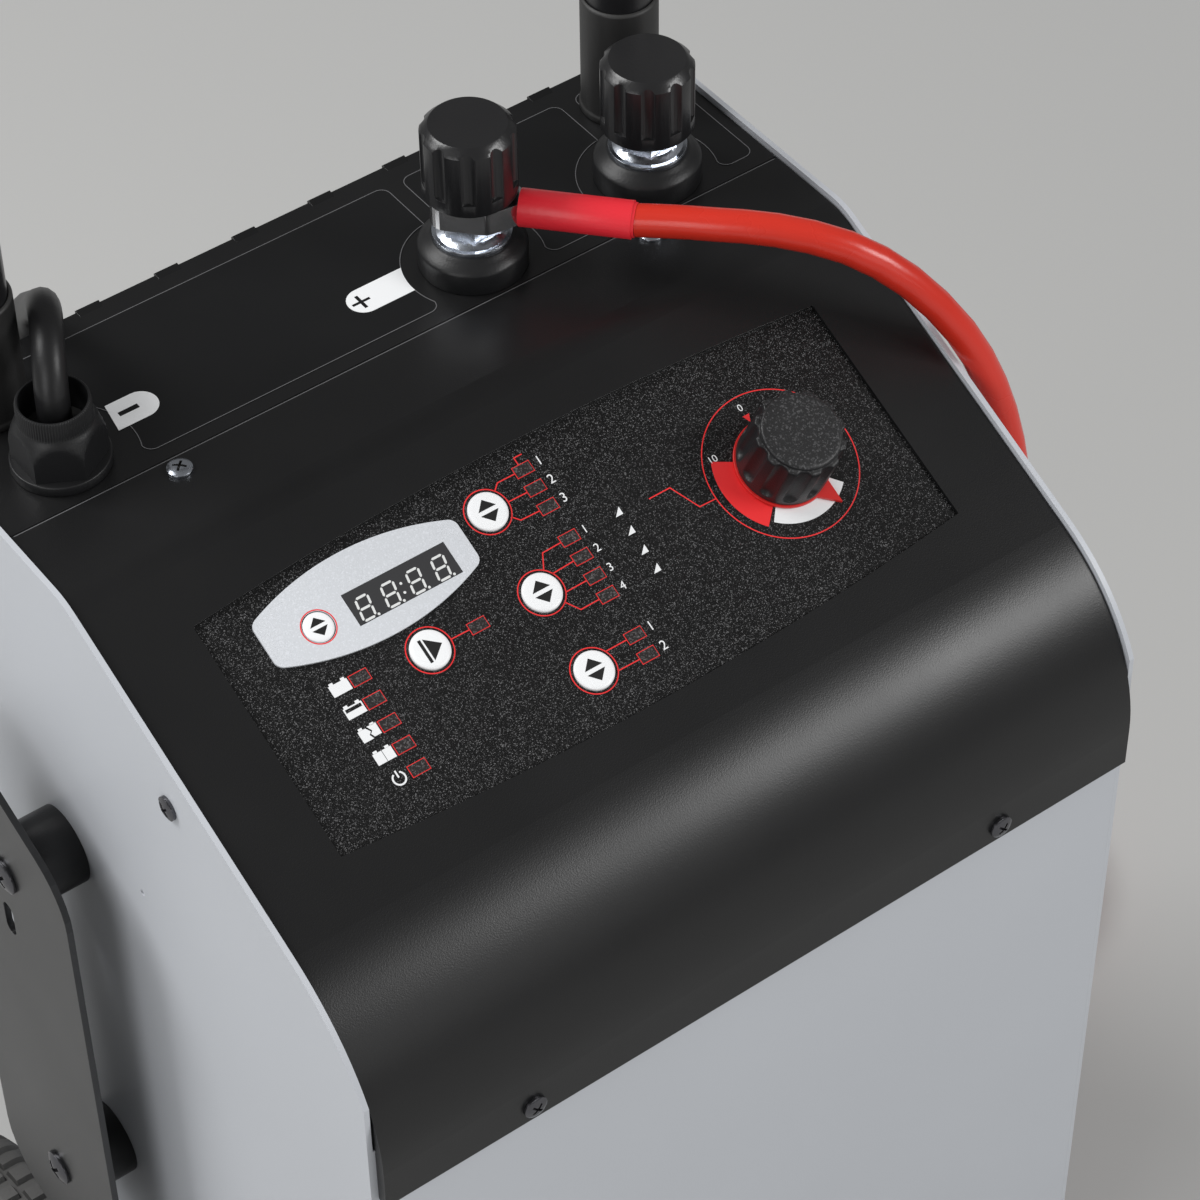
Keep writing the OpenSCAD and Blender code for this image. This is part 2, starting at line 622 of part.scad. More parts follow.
module key(r) {
    translate([0, 0, plate_z - loose - key_flange_h]) {
        cylinder(r = r, h = key_flange_h + loose + overlay_t + key_rise);
        cylinder(r = r + key_flange, h = key_flange_h);
    }
    translate([0, 0, board_z + switch_h + key_travel + 0.1])
        cylinder(r = 2.5, h = plate_z - loose - board_z - switch_h - key_travel - 0.1 - eps);
}
module key_function() color("#e9eaec") on_panel() translate(key_at[0]) key(key_r);
module key_capacity() color("#e9eaec") on_panel() translate(key_at[1]) key(key_r);
module key_battery() color("#e9eaec") on_panel() translate(key_at[2]) key(key_r);
module key_start() color("#e9eaec") on_panel() translate(key_at[3]) key(key_r);
module key_meter() color("#e9eaec") on_panel() translate(meter_key_at) key(meter_key_r);

module led_windows() color("#f2f3f4") on_panel() translate([0, 0, board_z]) led_holes(0, face_up - board_z + 0.2);

module control_board() color("#1f5a38") on_panel() {
    translate([0, 0, board_z - board_t]) linear_extrude(board_t) square(board_size, center = true);
    for (p = concat(key_at, [meter_key_at])) translate([p[0], p[1], board_z - eps]) {
        linear_extrude(switch_h - 1.2) square(6, center = true);
        cylinder(r = 1.7, h = switch_h);
    }
    for (x = [-1, 1]) for (y = [-1, 1]) translate([x * board_screw_at[0], y * board_screw_at[1], board_z - eps])
        cylinder(r = 3, h = plate_z - board_z + eps);
}
module potentiometer() color("#8b8f94") on_panel() translate([dial_x, 0, 0]) {
    translate([0, 0, board_z]) cylinder(r = 12, h = 8);
    translate([0, 0, board_z + 8 - eps]) cylinder(r = bush_r, h = face_up - board_z - 8 + 0.2);
    translate([0, 0, face_up]) cylinder(r = shaft_r, h = knob_h - 8);
}

// ---------- dial ----------

disc_t = 1.2;
disc_z = face_up + loose;
module dial_pointer() color("#c1121f") on_panel() translate([dial_x, 0, disc_z]) difference() {
    linear_extrude(disc_t) rotate(pointer_angle) union() {
        circle(r = pointer_r);
        polygon([[pointer_r - 3, 5], [pointer_r - 3, -5], [pointer_r + 7.5, 0]]);
    }
    translate([0, 0, -1]) cylinder(r = shaft_r + 0.3, h = 4);
}
knob_top = face_up + knob_h;
rim_step = 1.5;
module dial_knob() color("#141517") on_panel() translate([dial_x, 0, 0]) difference() {
    union() {
        translate([0, 0, disc_z + disc_t]) rotate_extrude() polygon([[0, 0], [knob_r, 0],
            [knob_r - 0.3, knob_top - rim_step - disc_z - disc_t - 1], [knob_r - 1, knob_top - rim_step - disc_z - disc_t],
            [knob_r - 1.6, knob_top - rim_step - disc_z - disc_t], [knob_r - 2, knob_top - disc_z - disc_t - 0.5],
            [knob_r - 2.6, knob_top - disc_z - disc_t], [0, knob_top - disc_z - disc_t]]);
    }
    for (k = [0 : flutes - 1]) rotate(k * 360 / flutes) translate([knob_r + 1.3, 0, disc_z + disc_t + 5]) {
        cylinder(r = 2.9, h = knob_top - rim_step - disc_z - disc_t - 5 + eps, $fn = 32);
        sphere(r = 2.9, $fn = 32);
    }
    translate([0, 0, face_up]) cylinder(r = shaft_r + running, h = knob_h - 7.5);
}

// ---------- output posts ----------

module post_insulators() color("#121314") for (x = post_x) translate([x, row_y, deck_z]) {
    rotate_extrude() polygon([[stud_r + 0.1, 0], [post_foot_r, 0], [post_foot_r, post_foot_h - 1.5],
        [post_foot_r - 1.5, post_foot_h], [nut_af / 2 + 6, stack_z - deck_z - 1], [nut_af / 2 + 5, stack_z - deck_z],
        [stud_r + 0.1, stack_z - deck_z]]);
    translate([0, 0, -sheet - 5]) difference() {
        union() {
            cylinder(r = post_neck_r, h = sheet + 5 + eps);
            cylinder(r = post_neck_r + 5, h = 5);
        }
        translate([0, 0, -1]) cylinder(r = stud_r + 0.1, h = sheet + 8);
    }
}
stud_down = 34;
module post_studs() color("#b9bdc2") for (k = [0, 1]) translate([post_x[k], row_y, deck_z]) {
    translate([0, 0, -stud_down]) cylinder(r = stud_r, h = stud_down + hand_at[k] + hand_h - 6 - deck_z);
    translate([0, 0, -sheet - 5 - 8]) hex(nut_af, 8);
}
module post_nuts() color("#c4c9d0") for (x = post_x) translate([x, row_y, stack_z]) difference() {
    union() {
        cylinder(r = nut_af / 2 + 4.4, h = 1.8);
        translate([0, 0, 1.8 - eps]) cylinder(r1 = nut_af / 2 + 3, r2 = nut_af / 2 + 0.6, h = 1.6);
        hex(nut_af, nut_h);
    }
    translate([0, 0, -1]) cylinder(r = stud_r + 0.1, h = nut_h + 2);
}
module hand_knob(z) translate([0, row_y, z]) difference() {
    rotate_extrude() polygon([[0, 0], [hand_r - 3, 0], [hand_r, 2.2], [hand_r, hand_h - 3], [hand_r - 3, hand_h], [0, hand_h]]);
    for (k = [0 : 9]) rotate(k * 36 + 18) translate([hand_r + 1.6, 0, 7]) cylinder(r = 3, h = hand_h, $fn = 32);
    translate([0, 0, -1]) cylinder(r = stud_r + running, h = hand_h - 4);
}
// Only the first post carries a lug under its knob
hand_at = [lug_z + lug_h, lug_z];
module post_knob_first() color("#101112") translate([post_x[0], 0, 0]) hand_knob(hand_at[0]);
module post_knob_second() color("#101112") translate([post_x[1], 0, 0]) hand_knob(hand_at[1]);

lug_w = 23;
module lead_lug() color("#b7bbc1") translate(lug_mid) rotate([0, 0, lug_heading]) difference() {
    union() {
        translate([0, 0, -lug_h / 2]) linear_extrude(lug_h) rounded([[-13, -lug_w / 2], [8, -lug_w / 2],
            [sleeve_from - 0.2, -lug_barrel_r], [sleeve_from - 0.2, lug_barrel_r], [8, lug_w / 2], [-13, lug_w / 2]],
            [6, 3, 0, 0, 3, 6]);
        translate([sleeve_from - 4, 0, 0]) rotate([0, 90, 0]) cylinder(r = lug_barrel_r, h = barrel_l + 4);
    }
    translate([0, 0, -lug_h]) cylinder(r = stud_r + 0.1, h = 2 * lug_h);
}
lug_barrel_r = 4.4;
module lug_sleeve() color("#c8102e") translate(sleeve_a) rotate([0, 90, lug_heading]) difference() {
    union() {
        cylinder(r = sleeve_r, h = sleeve_l - 1);
        cylinder(r = sleeve_r - 0.6, h = sleeve_l);
    }
    translate([0, 0, -1]) cylinder(r = lug_barrel_r + 0.1, h = barrel_l + 1.3);
}

// ---------- gland ----------

module gland_body() color("#151617") translate([gland_x, row_y, deck_z]) difference() {
    union() {
        cylinder(r = gland_foot_r, h = 4);
        cylinder(r = gland_thread_r, h = gland_neck);
        translate([0, 0, -14]) cylinder(r = gland_thread_r, h = 14 + eps);
        translate([0, 0, -sheet - 5.5]) hex(28, 5.5);
    }
    translate([0, 0, -15]) cylinder(r = cable_r + 0.4, h = 40);
}
module gland_cap() color("#161718") translate([gland_x, row_y, deck_z]) difference() {
    union() {
        intersection() {
            translate([0, 0, 4]) hex(gland_af, 13);
            translate([0, 0, 4]) cylinder(r1 = gland_af / 2 + 2.6, r2 = gland_af / 2 + 0.4, h = 13);
        }
        translate([0, 0, 17 - eps]) cylinder(r1 = gland_af / 2, r2 = 12.6, h = 3);
        translate([0, 0, 20 - 2 * eps]) cylinder(r = 12.6, h = 8);
    }
    translate([0, 0, 3]) cylinder(r = gland_thread_r + 0.1, h = gland_neck - 3 + 0.1);
    translate([0, 0, gland_neck]) cylinder(r = 11.1, h = 20);
    for (k = [0 : 35]) rotate(k * 10) translate([12.9, 0, 20.4]) cylinder(r = 0.55, h = 8, $fn = 16);
}
module gland_seal() color("#1a1a1a") translate([gland_x, row_y, deck_z + gland_neck])
    cylinder(r = 11, h = gland_seal_top - gland_neck);

// ---------- handle ----------

leg_down = 190;
module bend(r, R) rotate_extrude(angle = 90) translate([R, 0]) circle(r);
module handle_shape(r, extra) {
    z1 = deck_z + handle_up - handle_bend;
    for (s = [-1, 1]) translate([s * leg_x, 0, deck_z - leg_down - extra])
        cylinder(r = r, h = z1 - deck_z + leg_down + extra);
    translate([-leg_x + handle_bend, 0, z1 + handle_bend]) rotate([0, 90, 0])
        cylinder(r = r, h = 2 * (leg_x - handle_bend));
    translate([leg_x - handle_bend, 0, z1]) rotate([90, 0, 0]) bend(r, handle_bend);
    translate([handle_bend - leg_x, 0, z1]) rotate([90, 0, 0]) mirror([1, 0, 0]) bend(r, handle_bend);
}
module handle_tube() color("#1a1b1c") translate([0, rear_y - leg_back, 0]) difference() {
    handle_shape(tube_r, 0);
    handle_shape(tube_r - tube_wall, 1);
}
module handle_collars() color("#0e0e0f") for (s = [-1, 1]) translate([s * leg_x, rear_y - leg_back, deck_z])
    rotate_extrude() polygon([[tube_r + 0.1, 0], [tube_r + 2.2, 0], [tube_r + 2.2, 2], [tube_r + 1.5, 3],
        [tube_r + 1.5, collar_h - 0.8], [tube_r + 0.7, collar_h], [tube_r + 0.1, collar_h]]);
grip_l = 120;
module handle_grip() color("#161616") translate([-grip_l / 2, rear_y - leg_back, deck_z + handle_up])
    rotate([0, 90, 0]) rotate_extrude() polygon(concat([[tube_r + 0.1, 0], [tube_r + 3, 0]],
        [for (k = [0 : 11]) each [[tube_r + 3.5, 6 + 9 * k], [tube_r + 3.5, 11 + 9 * k], [tube_r + 2.8, 12 + 9 * k],
        [tube_r + 2.8, 14 + 9 * k]]], [[tube_r + 3, grip_l], [tube_r + 0.1, grip_l]]));

// ---------- cleats ----------

cleat_front = cleat_y - cleat_r;
cleat_rear = cleat_y + cleat_r;
cleat_slope = tan(tilt);
cleat_low = cleat_z - cleat_l - cleat_r;
module cleat_outline() rounded([[cleat_front, cleat_z + 26], [cleat_front, cleat_low], [cleat_rear, cleat_low],
    [cleat_rear, cleat_z + 26 + 2 * cleat_r * cleat_slope]], [26, 28, 28, 26]);
module slot_cut(y, z) translate([y, z]) { circle(3.2); translate([0, 9]) circle(3.2);
    translate([-3.2, 0]) square([6.4, 9]); }
module cleat_plates() color("#3a3c3f") both_sides() in_yz(cleat_x, cleat_t) difference() {
    cleat_outline();
    for (k = [0, 1]) translate([cleat_y, cleat_z - k * cleat_l]) circle(bolt_r + 0.1);
    slot_cut(cleat_y + 4, cleat_z - 32);
}
module cleat_spacers() color("#1c1d1e") both_sides() for (k = [0, 1])
    translate([body_w / 2, cleat_y, cleat_z - k * cleat_l]) rotate([0, 90, 0]) ring(spacer_r, bolt_r + 0.1, spacer_l);
module cleat_bolts() color("#4b4e52") both_sides() for (k = [0, 1])
    translate([cleat_x + cleat_t, cleat_y, cleat_z - k * cleat_l]) rotate([0, 90, 0]) {
        pan_screw(bolt_head_r, bolt_head_h, bolt_r, spacer_l + cleat_t + side_t + 10);
        translate([0, 0, -spacer_l - cleat_t - side_t - 6.5]) hex(13, 6.5);
    }

// ---------- running gear ----------

module tyre() rotate_extrude() polygon([[rim_r, 0], [rim_r + 6, 0], [wheel_r - 6, 2.5], [wheel_r - 1.5, 6],
    [wheel_r, 10], [wheel_r, wheel_w - 10], [wheel_r - 1.5, wheel_w - 6], [wheel_r - 6, wheel_w - 2.5],
    [rim_r + 6, wheel_w], [rim_r, wheel_w]]);
module rim() difference() {
    union() {
        ring(rim_r - 0.1, rim_r - 5, wheel_w);
        cylinder(r = hub_r, h = wheel_w);
        translate([0, 0, wheel_w / 2 - 3]) cylinder(r = rim_r - 2, h = 6);
        for (k = [0 : 4]) rotate(k * 72) translate([0, -3, 5]) cube([rim_r - 3, 6, wheel_w - 10]);
    }
    translate([0, 0, -1]) cylinder(r = axle_r + running, h = wheel_w + 2);
    for (k = [0 : 4]) rotate(k * 72 + 36) translate([37, 0, -1]) cylinder(r = 9, h = wheel_w + 2);
}
module on_axle(x) translate([x, wheel_y, wheel_r]) rotate([0, 90, 0]) children();
module tyre_right() color("#1a1a1a") on_axle(wheel_x) tyre();
module tyre_left() color("#1a1a1a") mirror([1, 0, 0]) on_axle(wheel_x) tyre();
module rim_right() color("#8d1a1f") on_axle(wheel_x) rim();
module rim_left() color("#8d1a1f") mirror([1, 0, 0]) on_axle(wheel_x) rim();
module axle() color("#a9adb2") {
    on_axle(-wheel_x - wheel_w - 1) cylinder(r = axle_r, h = 2 * (wheel_x + wheel_w + 1));
    both_sides() {
        on_axle(body_w / 2) cylinder(r = axle_r + 5, h = wheel_gap - loose);
        on_axle(wheel_x + wheel_w + loose) cylinder(r = axle_r + 4, h = cap_t);
    }
}
module front_feet() color("#1b1b1b") for (s = [-1, 1]) translate([s * foot_x, foot_y, 0]) {
    rotate_extrude() polygon([[0, 0], [foot_r - 2, 0], [foot_r, 2], [foot_r - 3, base_z], [0, base_z]]);
    translate([0, 0, base_z - eps]) cylinder(r = 4, h = tray_t + 3);
    translate([0, 0, base_z + tray_t]) hex(13, 5);
}

// ---------- inside ----------

module transformer_core() color("#6e7378") translate([core_x, core_y, core_z]) {
    difference() {
        translate([-core[0] / 2, -core[1] / 2, 0]) cube(core);
        both_sides() translate([core_leg / 2, -core[1], core_yoke])
            cube([(core[0] - core_leg) / 2 - core_yoke, 2 * core[1], core[2] - 2 * core_yoke]);
    }
    for (s = [-1, 1]) translate([-core[0] / 2 - 12, s * core[1] / 3 - 10, -3]) cube([core[0] + 24, 20, 3 + eps]);
}
module transformer_coils() color("#b06a2c") translate([core_x, core_y, core_z + core_yoke + 0.5]) difference() {
    linear_extrude(core[2] - 2 * core_yoke - 1)
        rounded_box(core_leg + 2 * coil_wall, core[1] + 2 * coil_wall, 14);
    translate([0, 0, -1]) linear_extrude(core[2]) square([core_leg + 0.6, core[1] + 0.6], center = true);
}
module rectifier() color("#9fa4a9") translate(sink_at) {
    cube([6, sink[1], sink[2]]);
    for (k = [0 : 9]) translate([0, 2 + k * (sink[1] - 7) / 9, 0]) cube([sink[0], 3, sink[2]]);
    for (k = [0 : 3]) translate([0, 20 + k * 24, sink[2] - 30]) rotate([0, -90, 0]) {
        translate([0, 0, -eps]) hex(17, 5);
        cylinder(r = 7, h = 9);
    }
}
fan_hub_r = 21;
fan_pin_r = 2.5;
fan_back_y = panel_in_y;
module in_fan() translate([0, fan_back_y, fan_z]) rotate([90, 0, 0]) children();
module fan_frame() color("#222326") in_fan() {
    difference() {
        translate([-fan_size / 2, -fan_size / 2, 0]) cube([fan_size, fan_size, fan_depth]);
        translate([0, 0, -1]) cylinder(r = fan_bore_r, h = fan_depth + 2);
        for (x = [-1, 1]) for (z = [-1, 1]) translate([x * fan_pitch / 2, z * fan_pitch / 2, -1])
            cylinder(r = screw_r + 0.1, h = fan_depth + 2);
    }
    translate([0, 0, fan_depth - 4]) cylinder(r = fan_hub_r, h = 4);
    for (a = [45, 135, 225, 315]) rotate(a) translate([fan_hub_r - 2, -2.5, fan_depth - 4])
        cube([fan_bore_r - fan_hub_r + 3, 5, 4]);
    translate([0, 0, 4]) cylinder(r = fan_pin_r, h = fan_depth - 6);
}
module fan_rotor() color("#2b2c30") in_fan() difference() {
    union() {
        translate([0, 0, 2]) cylinder(r = fan_hub_r - 1, h = fan_depth - 6 - 0.5);
        for (k = [0 : 6]) rotate(k * 360 / 7) translate([fan_hub_r - 3, 0, fan_depth / 2 - 1.5])
            rotate([38, 0, 0]) translate([0, -10, -1]) cube([fan_bore_r - fan_hub_r + 1, 20, 2]);
    }
    translate([0, 0, 3]) cylinder(r = fan_pin_r + running, h = fan_depth);
}
module fan_guard() color("#b6babf") translate([0, rear_y - sheet, fan_z]) rotate([-90, 0, 0]) {
    for (k = [0 : 3]) ring(fan_bore_r - 6 - 12 * k + guard_wire / 2, fan_bore_r - 6 - 12 * k - guard_wire / 2, guard_wire);
    for (a = [0, 90]) rotate(a + 45) translate([-guard_arm, -1.5, 0]) cube([2 * guard_arm, 3, guard_wire]);
    for (x = [-1, 1]) for (z = [-1, 1]) translate([x * fan_pitch / 2, z * fan_pitch / 2, 0]) {
        cylinder(r = 4, h = 3.4);
        translate([0, 0, -sheet - fan_depth]) cylinder(r = screw_r, h = sheet + fan_depth + eps);
    }
}
module mains_gland() color("#17181a") translate([mains_at[0], panel_in_y + sheet, mains_at[1]]) rotate([-90, 0, 0])
    difference() {
        union() {
            cylinder(r = mains_r + 4, h = 3);
            translate([0, 0, 3 - eps]) hex(22, 9);
            translate([0, 0, 12 - 2 * eps]) cylinder(r1 = 10.6, r2 = 8.5, h = 8);
            translate([0, 0, -10]) cylinder(r = mains_r, h = 10 + eps);
            translate([0, 0, -sheet - 5]) hex(24, 5);
        }
        translate([0, 0, -11]) cylinder(r = 5, h = 40);
    }

// ---------- leads and clamps ----------

module lead(path, start_dir, end_dir, coil_end, coil_heading) {
    swept(smooth_path(path, 2), cable_r, 10, start_dir, end_dir);
    d = [cos(coil_heading), sin(coil_heading), 0];
    swept(smooth_path(tail(coil_end, coil_heading), 2), cable_r, 10, d, d);
}
module red_lead() color("#c8102e") lead(red_path, lug_dir, coil_dir(red_coil_at, red_entry, 0), red_end, red_turned);
module black_lead() color("#151515") lead(black_path, [0, 0, 1], coil_dir(black_coil_at, black_entry, 0),
    black_end, black_turned);
module red_coil() color("#c8102e") swept(red_line, cable_r, 6, coil_dir(red_coil_at, red_entry, 0),
    coil_dir(red_coil_at, red_entry, red_sweep));
module black_coil() color("#151515") swept(black_line, cable_r, 6, coil_dir(black_coil_at, black_entry, 0),
    coil_dir(black_coil_at, black_entry, black_sweep));

jaw_gap = 0.3;
module lever() polygon([[60, jaw_gap], [60, 9], [46, 15], [20, 17], [-8, 17], [-30, 23], [-66, 37], [-96, 41],
    [-96, 25], [-66, 22], [-32, 10], [-2, jaw_gap], [12, jaw_gap], [16, 5], [26, 8], [38, 5], [42, jaw_gap]]);
module teeth() for (k = [0 : 3]) translate([44 + 4 * k, jaw_gap - 1]) rotate(45) square(1.6, center = true);
module jaw_fixed() {
    difference() {
        union() {
            linear_extrude(clamp_h) difference() { mirror([0, 1]) lever(); mirror([0, 1]) teeth(); }
            cylinder(r = barrel_r, h = ear_h);
            translate([0, 0, clamp_h - ear_h]) cylinder(r = barrel_r, h = ear_h);
            translate([clamp_boss[0], clamp_boss[1], clamp_h / 2]) rotate([0, 90, 0])
                cylinder(r = clamp_boss_r, h = 13);
        }
        translate([0, 0, ear_h]) cylinder(r = barrel_r + 0.4, h = clamp_h - 2 * ear_h);
    }
    cylinder(r = clamp_pin_r, h = clamp_h);
}
module jaw_moving() difference() {
    union() {
        linear_extrude(clamp_h) difference() { lever(); teeth(); }
        translate([0, 0, ear_h + loose]) cylinder(r = barrel_r, h = clamp_h - 2 * ear_h - 2 * loose);
    }
    for (z = [-1, clamp_h - ear_h - loose]) translate([0, 0, z])
        cylinder(r = barrel_r + 0.4, h = ear_h + loose + 1);
    translate([0, 0, -1]) cylinder(r = clamp_pin_r + running, h = clamp_h + 2);
}
module at_clamp(p, a) translate([hinge_at(p, a)[0], hinge_at(p, a)[1], 0]) rotate([0, 0, a]) children();
module red_jaw_fixed() color("#c8102e") at_clamp(red_end, red_turned) jaw_fixed();
module red_jaw_moving() color("#c8102e") at_clamp(red_end, red_turned) jaw_moving();
module black_jaw_fixed() color("#1a1a1a") at_clamp(black_end, black_turned) jaw_fixed();
module black_jaw_moving() color("#1a1a1a") at_clamp(black_end, black_turned) jaw_moving();

side_panel_left();
side_panel_right();
front_panel();
base_tray();
rear_panel();
top_plate();
control_cover();
cover_screws();
side_screws();
control_overlay();
meter_badge();
meter_lens();
meter_module();
key_meter();
key_function();
key_capacity();
key_battery();
key_start();
led_windows();
control_board();
potentiometer();
dial_knob();
dial_pointer();
post_insulators();
post_studs();
post_nuts();
post_knob_first();
post_knob_second();
lead_lug();
lug_sleeve();
gland_body();
gland_cap();
gland_seal();
handle_tube();
handle_collars();
handle_grip();
cleat_plates();
cleat_spacers();
cleat_bolts();
tyre_left();
rim_left();
tyre_right();
rim_right();
axle();
front_feet();
transformer_core();
transformer_coils();
rectifier();
fan_frame();
fan_rotor();
fan_guard();
mains_gland();
red_lead();
red_coil();
red_jaw_fixed();
red_jaw_moving();
black_lead();
black_coil();
black_jaw_fixed();
black_jaw_moving();
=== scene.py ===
# %% [markdown]
# # A wheeled battery charger, dressed for a studio picture
# The model that this script opens is already exact: every panel, post and wheel has its real size.
# What it lacks is the look of the real thing, so each cell below gives one piece or one finish the
# detail that an eye expects up close, such as printed symbols, moulded flutes and grained paint.

# %% Open the model
import json
import math

import bpy
from mathutils import Matrix, Vector


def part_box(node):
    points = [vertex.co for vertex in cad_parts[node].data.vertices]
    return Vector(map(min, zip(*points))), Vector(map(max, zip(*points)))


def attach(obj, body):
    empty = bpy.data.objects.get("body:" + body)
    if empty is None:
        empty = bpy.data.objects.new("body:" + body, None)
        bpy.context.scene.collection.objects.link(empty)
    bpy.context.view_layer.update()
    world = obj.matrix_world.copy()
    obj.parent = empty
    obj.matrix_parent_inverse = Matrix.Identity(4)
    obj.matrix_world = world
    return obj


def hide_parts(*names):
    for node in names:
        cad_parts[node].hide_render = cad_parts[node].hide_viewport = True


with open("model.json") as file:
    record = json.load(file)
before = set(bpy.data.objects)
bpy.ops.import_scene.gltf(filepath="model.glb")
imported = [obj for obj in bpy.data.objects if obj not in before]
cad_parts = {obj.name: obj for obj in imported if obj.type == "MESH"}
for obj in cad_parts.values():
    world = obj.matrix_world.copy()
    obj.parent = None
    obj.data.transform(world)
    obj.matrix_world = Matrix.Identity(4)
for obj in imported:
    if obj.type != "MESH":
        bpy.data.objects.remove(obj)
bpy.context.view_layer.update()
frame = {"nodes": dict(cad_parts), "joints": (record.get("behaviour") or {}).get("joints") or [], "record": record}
scene = bpy.context.scene
NODES = frame["nodes"]
MM = 0.001

# %% [markdown]
# ## Camera
# The machine is seen from above its left front corner, looking down at the control panel. A long lens
# was chosen because it keeps the panel's parallel edges nearly parallel, as a catalogue picture has
# them. The direction is written as a heading round the machine and a dip below level.

# %% Camera
CAMERA_AT = Vector((-0.5268, -0.7885, 1.4442))
HEADING, DIP, ROLL = math.radians(-35.86), math.radians(46.36), math.radians(-0.85)
SENSOR_W, FOCAL_LENGTH = 36, 118.67
forward = Vector((-math.sin(HEADING) * math.cos(DIP), math.cos(HEADING) * math.cos(DIP), -math.sin(DIP)))
level = forward.cross(Vector((0, 0, 1))).normalized()
right = level * math.cos(ROLL) + level.cross(forward) * math.sin(ROLL)
up = right.cross(forward)
camera_data = bpy.data.cameras.new("camera")
camera_data.sensor_width, camera_data.lens = SENSOR_W, FOCAL_LENGTH
camera = bpy.data.objects.new("camera", camera_data)
camera.matrix_world = Matrix.Translation(CAMERA_AT) @ Matrix((right, up, -forward)).transposed().to_4x4()
scene.collection.objects.link(camera)
scene.camera = camera
print("camera looks along", [round(v, 3) for v in forward])

# %% [markdown]
# ## The two output leads
# A welding-type lead is a bundle of fine copper under a soft sheath, so it keeps one thickness and
# only ever bends gently. Each lead leaves the deck, hangs down the machine, runs out over the floor
# and is put away in a flat coil that ends at its clamp. Its route is a list of points, and Blender
# draws the tube round it. The radius is set on the points and not on the bevel, because Blender grows
# a curve's bounding box by the radius of its points.

# %% Lead routes
LEAD_R = 5.8
RED_START = (78.874, 25.368, 566)
RED_ROUTE = [
    (88, 16, 567), (97, 6, 568), (112, -9, 568), (130, -25, 562), (147, -38, 547),
    (162, -49, 524), (171, -57, 500), (176, -63, 474), (178, -68, 444), (179, -71, 410),
    (180, -73, 360), (180, -74, 300), (180, -74, 240), (180, -74, 180), (180, -74, 130),
    (181, -73, 95), (184, -69, 62), (189, -59, 34), (196, -43, 15), (203.5, -24, 7),
    (209, -3, 5.9), (211.2, 18, 5.9), (211.5, 40, 5.9), (211.5, 66, 5.9)]
BLACK_START = (-125, 67.055, 555)
BLACK_ROUTE = [
    (-124.8, 67.6, 562), (-123.7, 69.6, 569.5), (-121, 74, 576), (-117.3, 80.5, 580),
    (-113.2, 88.2, 581), (-109.8, 95.7, 578.5), (-107, 102.7, 573.5), (-105, 109.2, 567),
    (-102.8, 117.2, 559.5), (-101, 125.5, 552), (-99.5, 133, 542.5), (-98.5, 137.5, 530),
    (-98, 139, 512), (-98, 139.5, 480), (-98, 140, 420), (-98, 140, 350), (-98, 140, 280),
    (-98, 140, 210), (-98, 140, 150), (-98, 140.5, 105), (-98, 145, 68), (-98, 157, 36),
    (-98, 175, 14), (-98, 198, 6.5), (-97.8, 225, 5.9)]


def smooth_line(points, steps):
    """A curve through all the points, with that many steps between neighbours."""
    p = [Vector(q) for q in points]
    line = []
    for i in range(len(p) - 1):
        a, b, c, d = p[max(i - 1, 0)], p[i], p[i + 1], p[min(i + 2, len(p) - 1)]
        for k in range(steps):
            t = k / steps
            line.append(0.5 * (2 * b + (c - a) * t + (2 * a - 5 * b + 4 * c - d) * t * t
                               + (3 * b - a - 3 * c + d) * t ** 3))
    return line + [p[-1]]


# %% [markdown]
# Each coil winds inwards on the floor for two turns, climbs to a second layer and winds out again.
# Its radius follows the turned angle, so the turns lie side by side with a hair of air between them.

# %% Coils
COIL_R, COIL_PITCH, COIL_TURNS, COIL_LIFT = 76.5, 12.6, 2, 12.4
TAIL = 45
CLAMP_H = 26


def coil_point(at, entry, angle):
    """A point of the coil's middle line, after that many degrees of winding."""
    off = angle - 360 * COIL_TURNS
    radius = COIL_R - COIL_PITCH * COIL_TURNS + COIL_PITCH * abs(off) / 360
    turned_to = math.radians(entry - angle)
    climb = min(max((off + 90) / 180, 0), 1)
    return Vector((at[0] + radius * math.cos(turned_to), at[1] + radius * math.sin(turned_to),
                   LEAD_R + 0.1 + COIL_LIFT * climb))


def lead_line(start, route, at, entry, sweep):
    """The whole middle line of a lead: hanging part, coil, and the short tail into its clamp."""
    coil = [coil_point(at, entry, a) for a in range(0, sweep + 1, 15)]
    heading = coil_point(at, entry, sweep + 0.5) - coil_point(at, entry, sweep - 0.5)
    heading = Vector((heading.x, heading.y, 0)).normalized()
    end = coil[-1] + TAIL * heading
    end.z = CLAMP_H / 2
    tail = smooth_line([coil[-1], coil[-1] + 12 * heading, (coil[-1] + end) / 2, end - 12 * heading, end], 2)
    hanging = smooth_line([start] + route + [coil[0]], 2)
    return hanging[:-1] + coil + tail[1:]


red_line = lead_line(RED_START, RED_ROUTE, at=(288, 94), entry=180, sweep=1485)
black_line = lead_line(BLACK_START, BLACK_ROUTE, at=(-22, 240), entry=170, sweep=1560)


def length_of(line):
    return sum((b - a).length for a, b in zip(line, line[1:])) * MM


print("red lead", round(length_of(red_line), 3), "m, black lead", round(length_of(black_line), 3), "m")

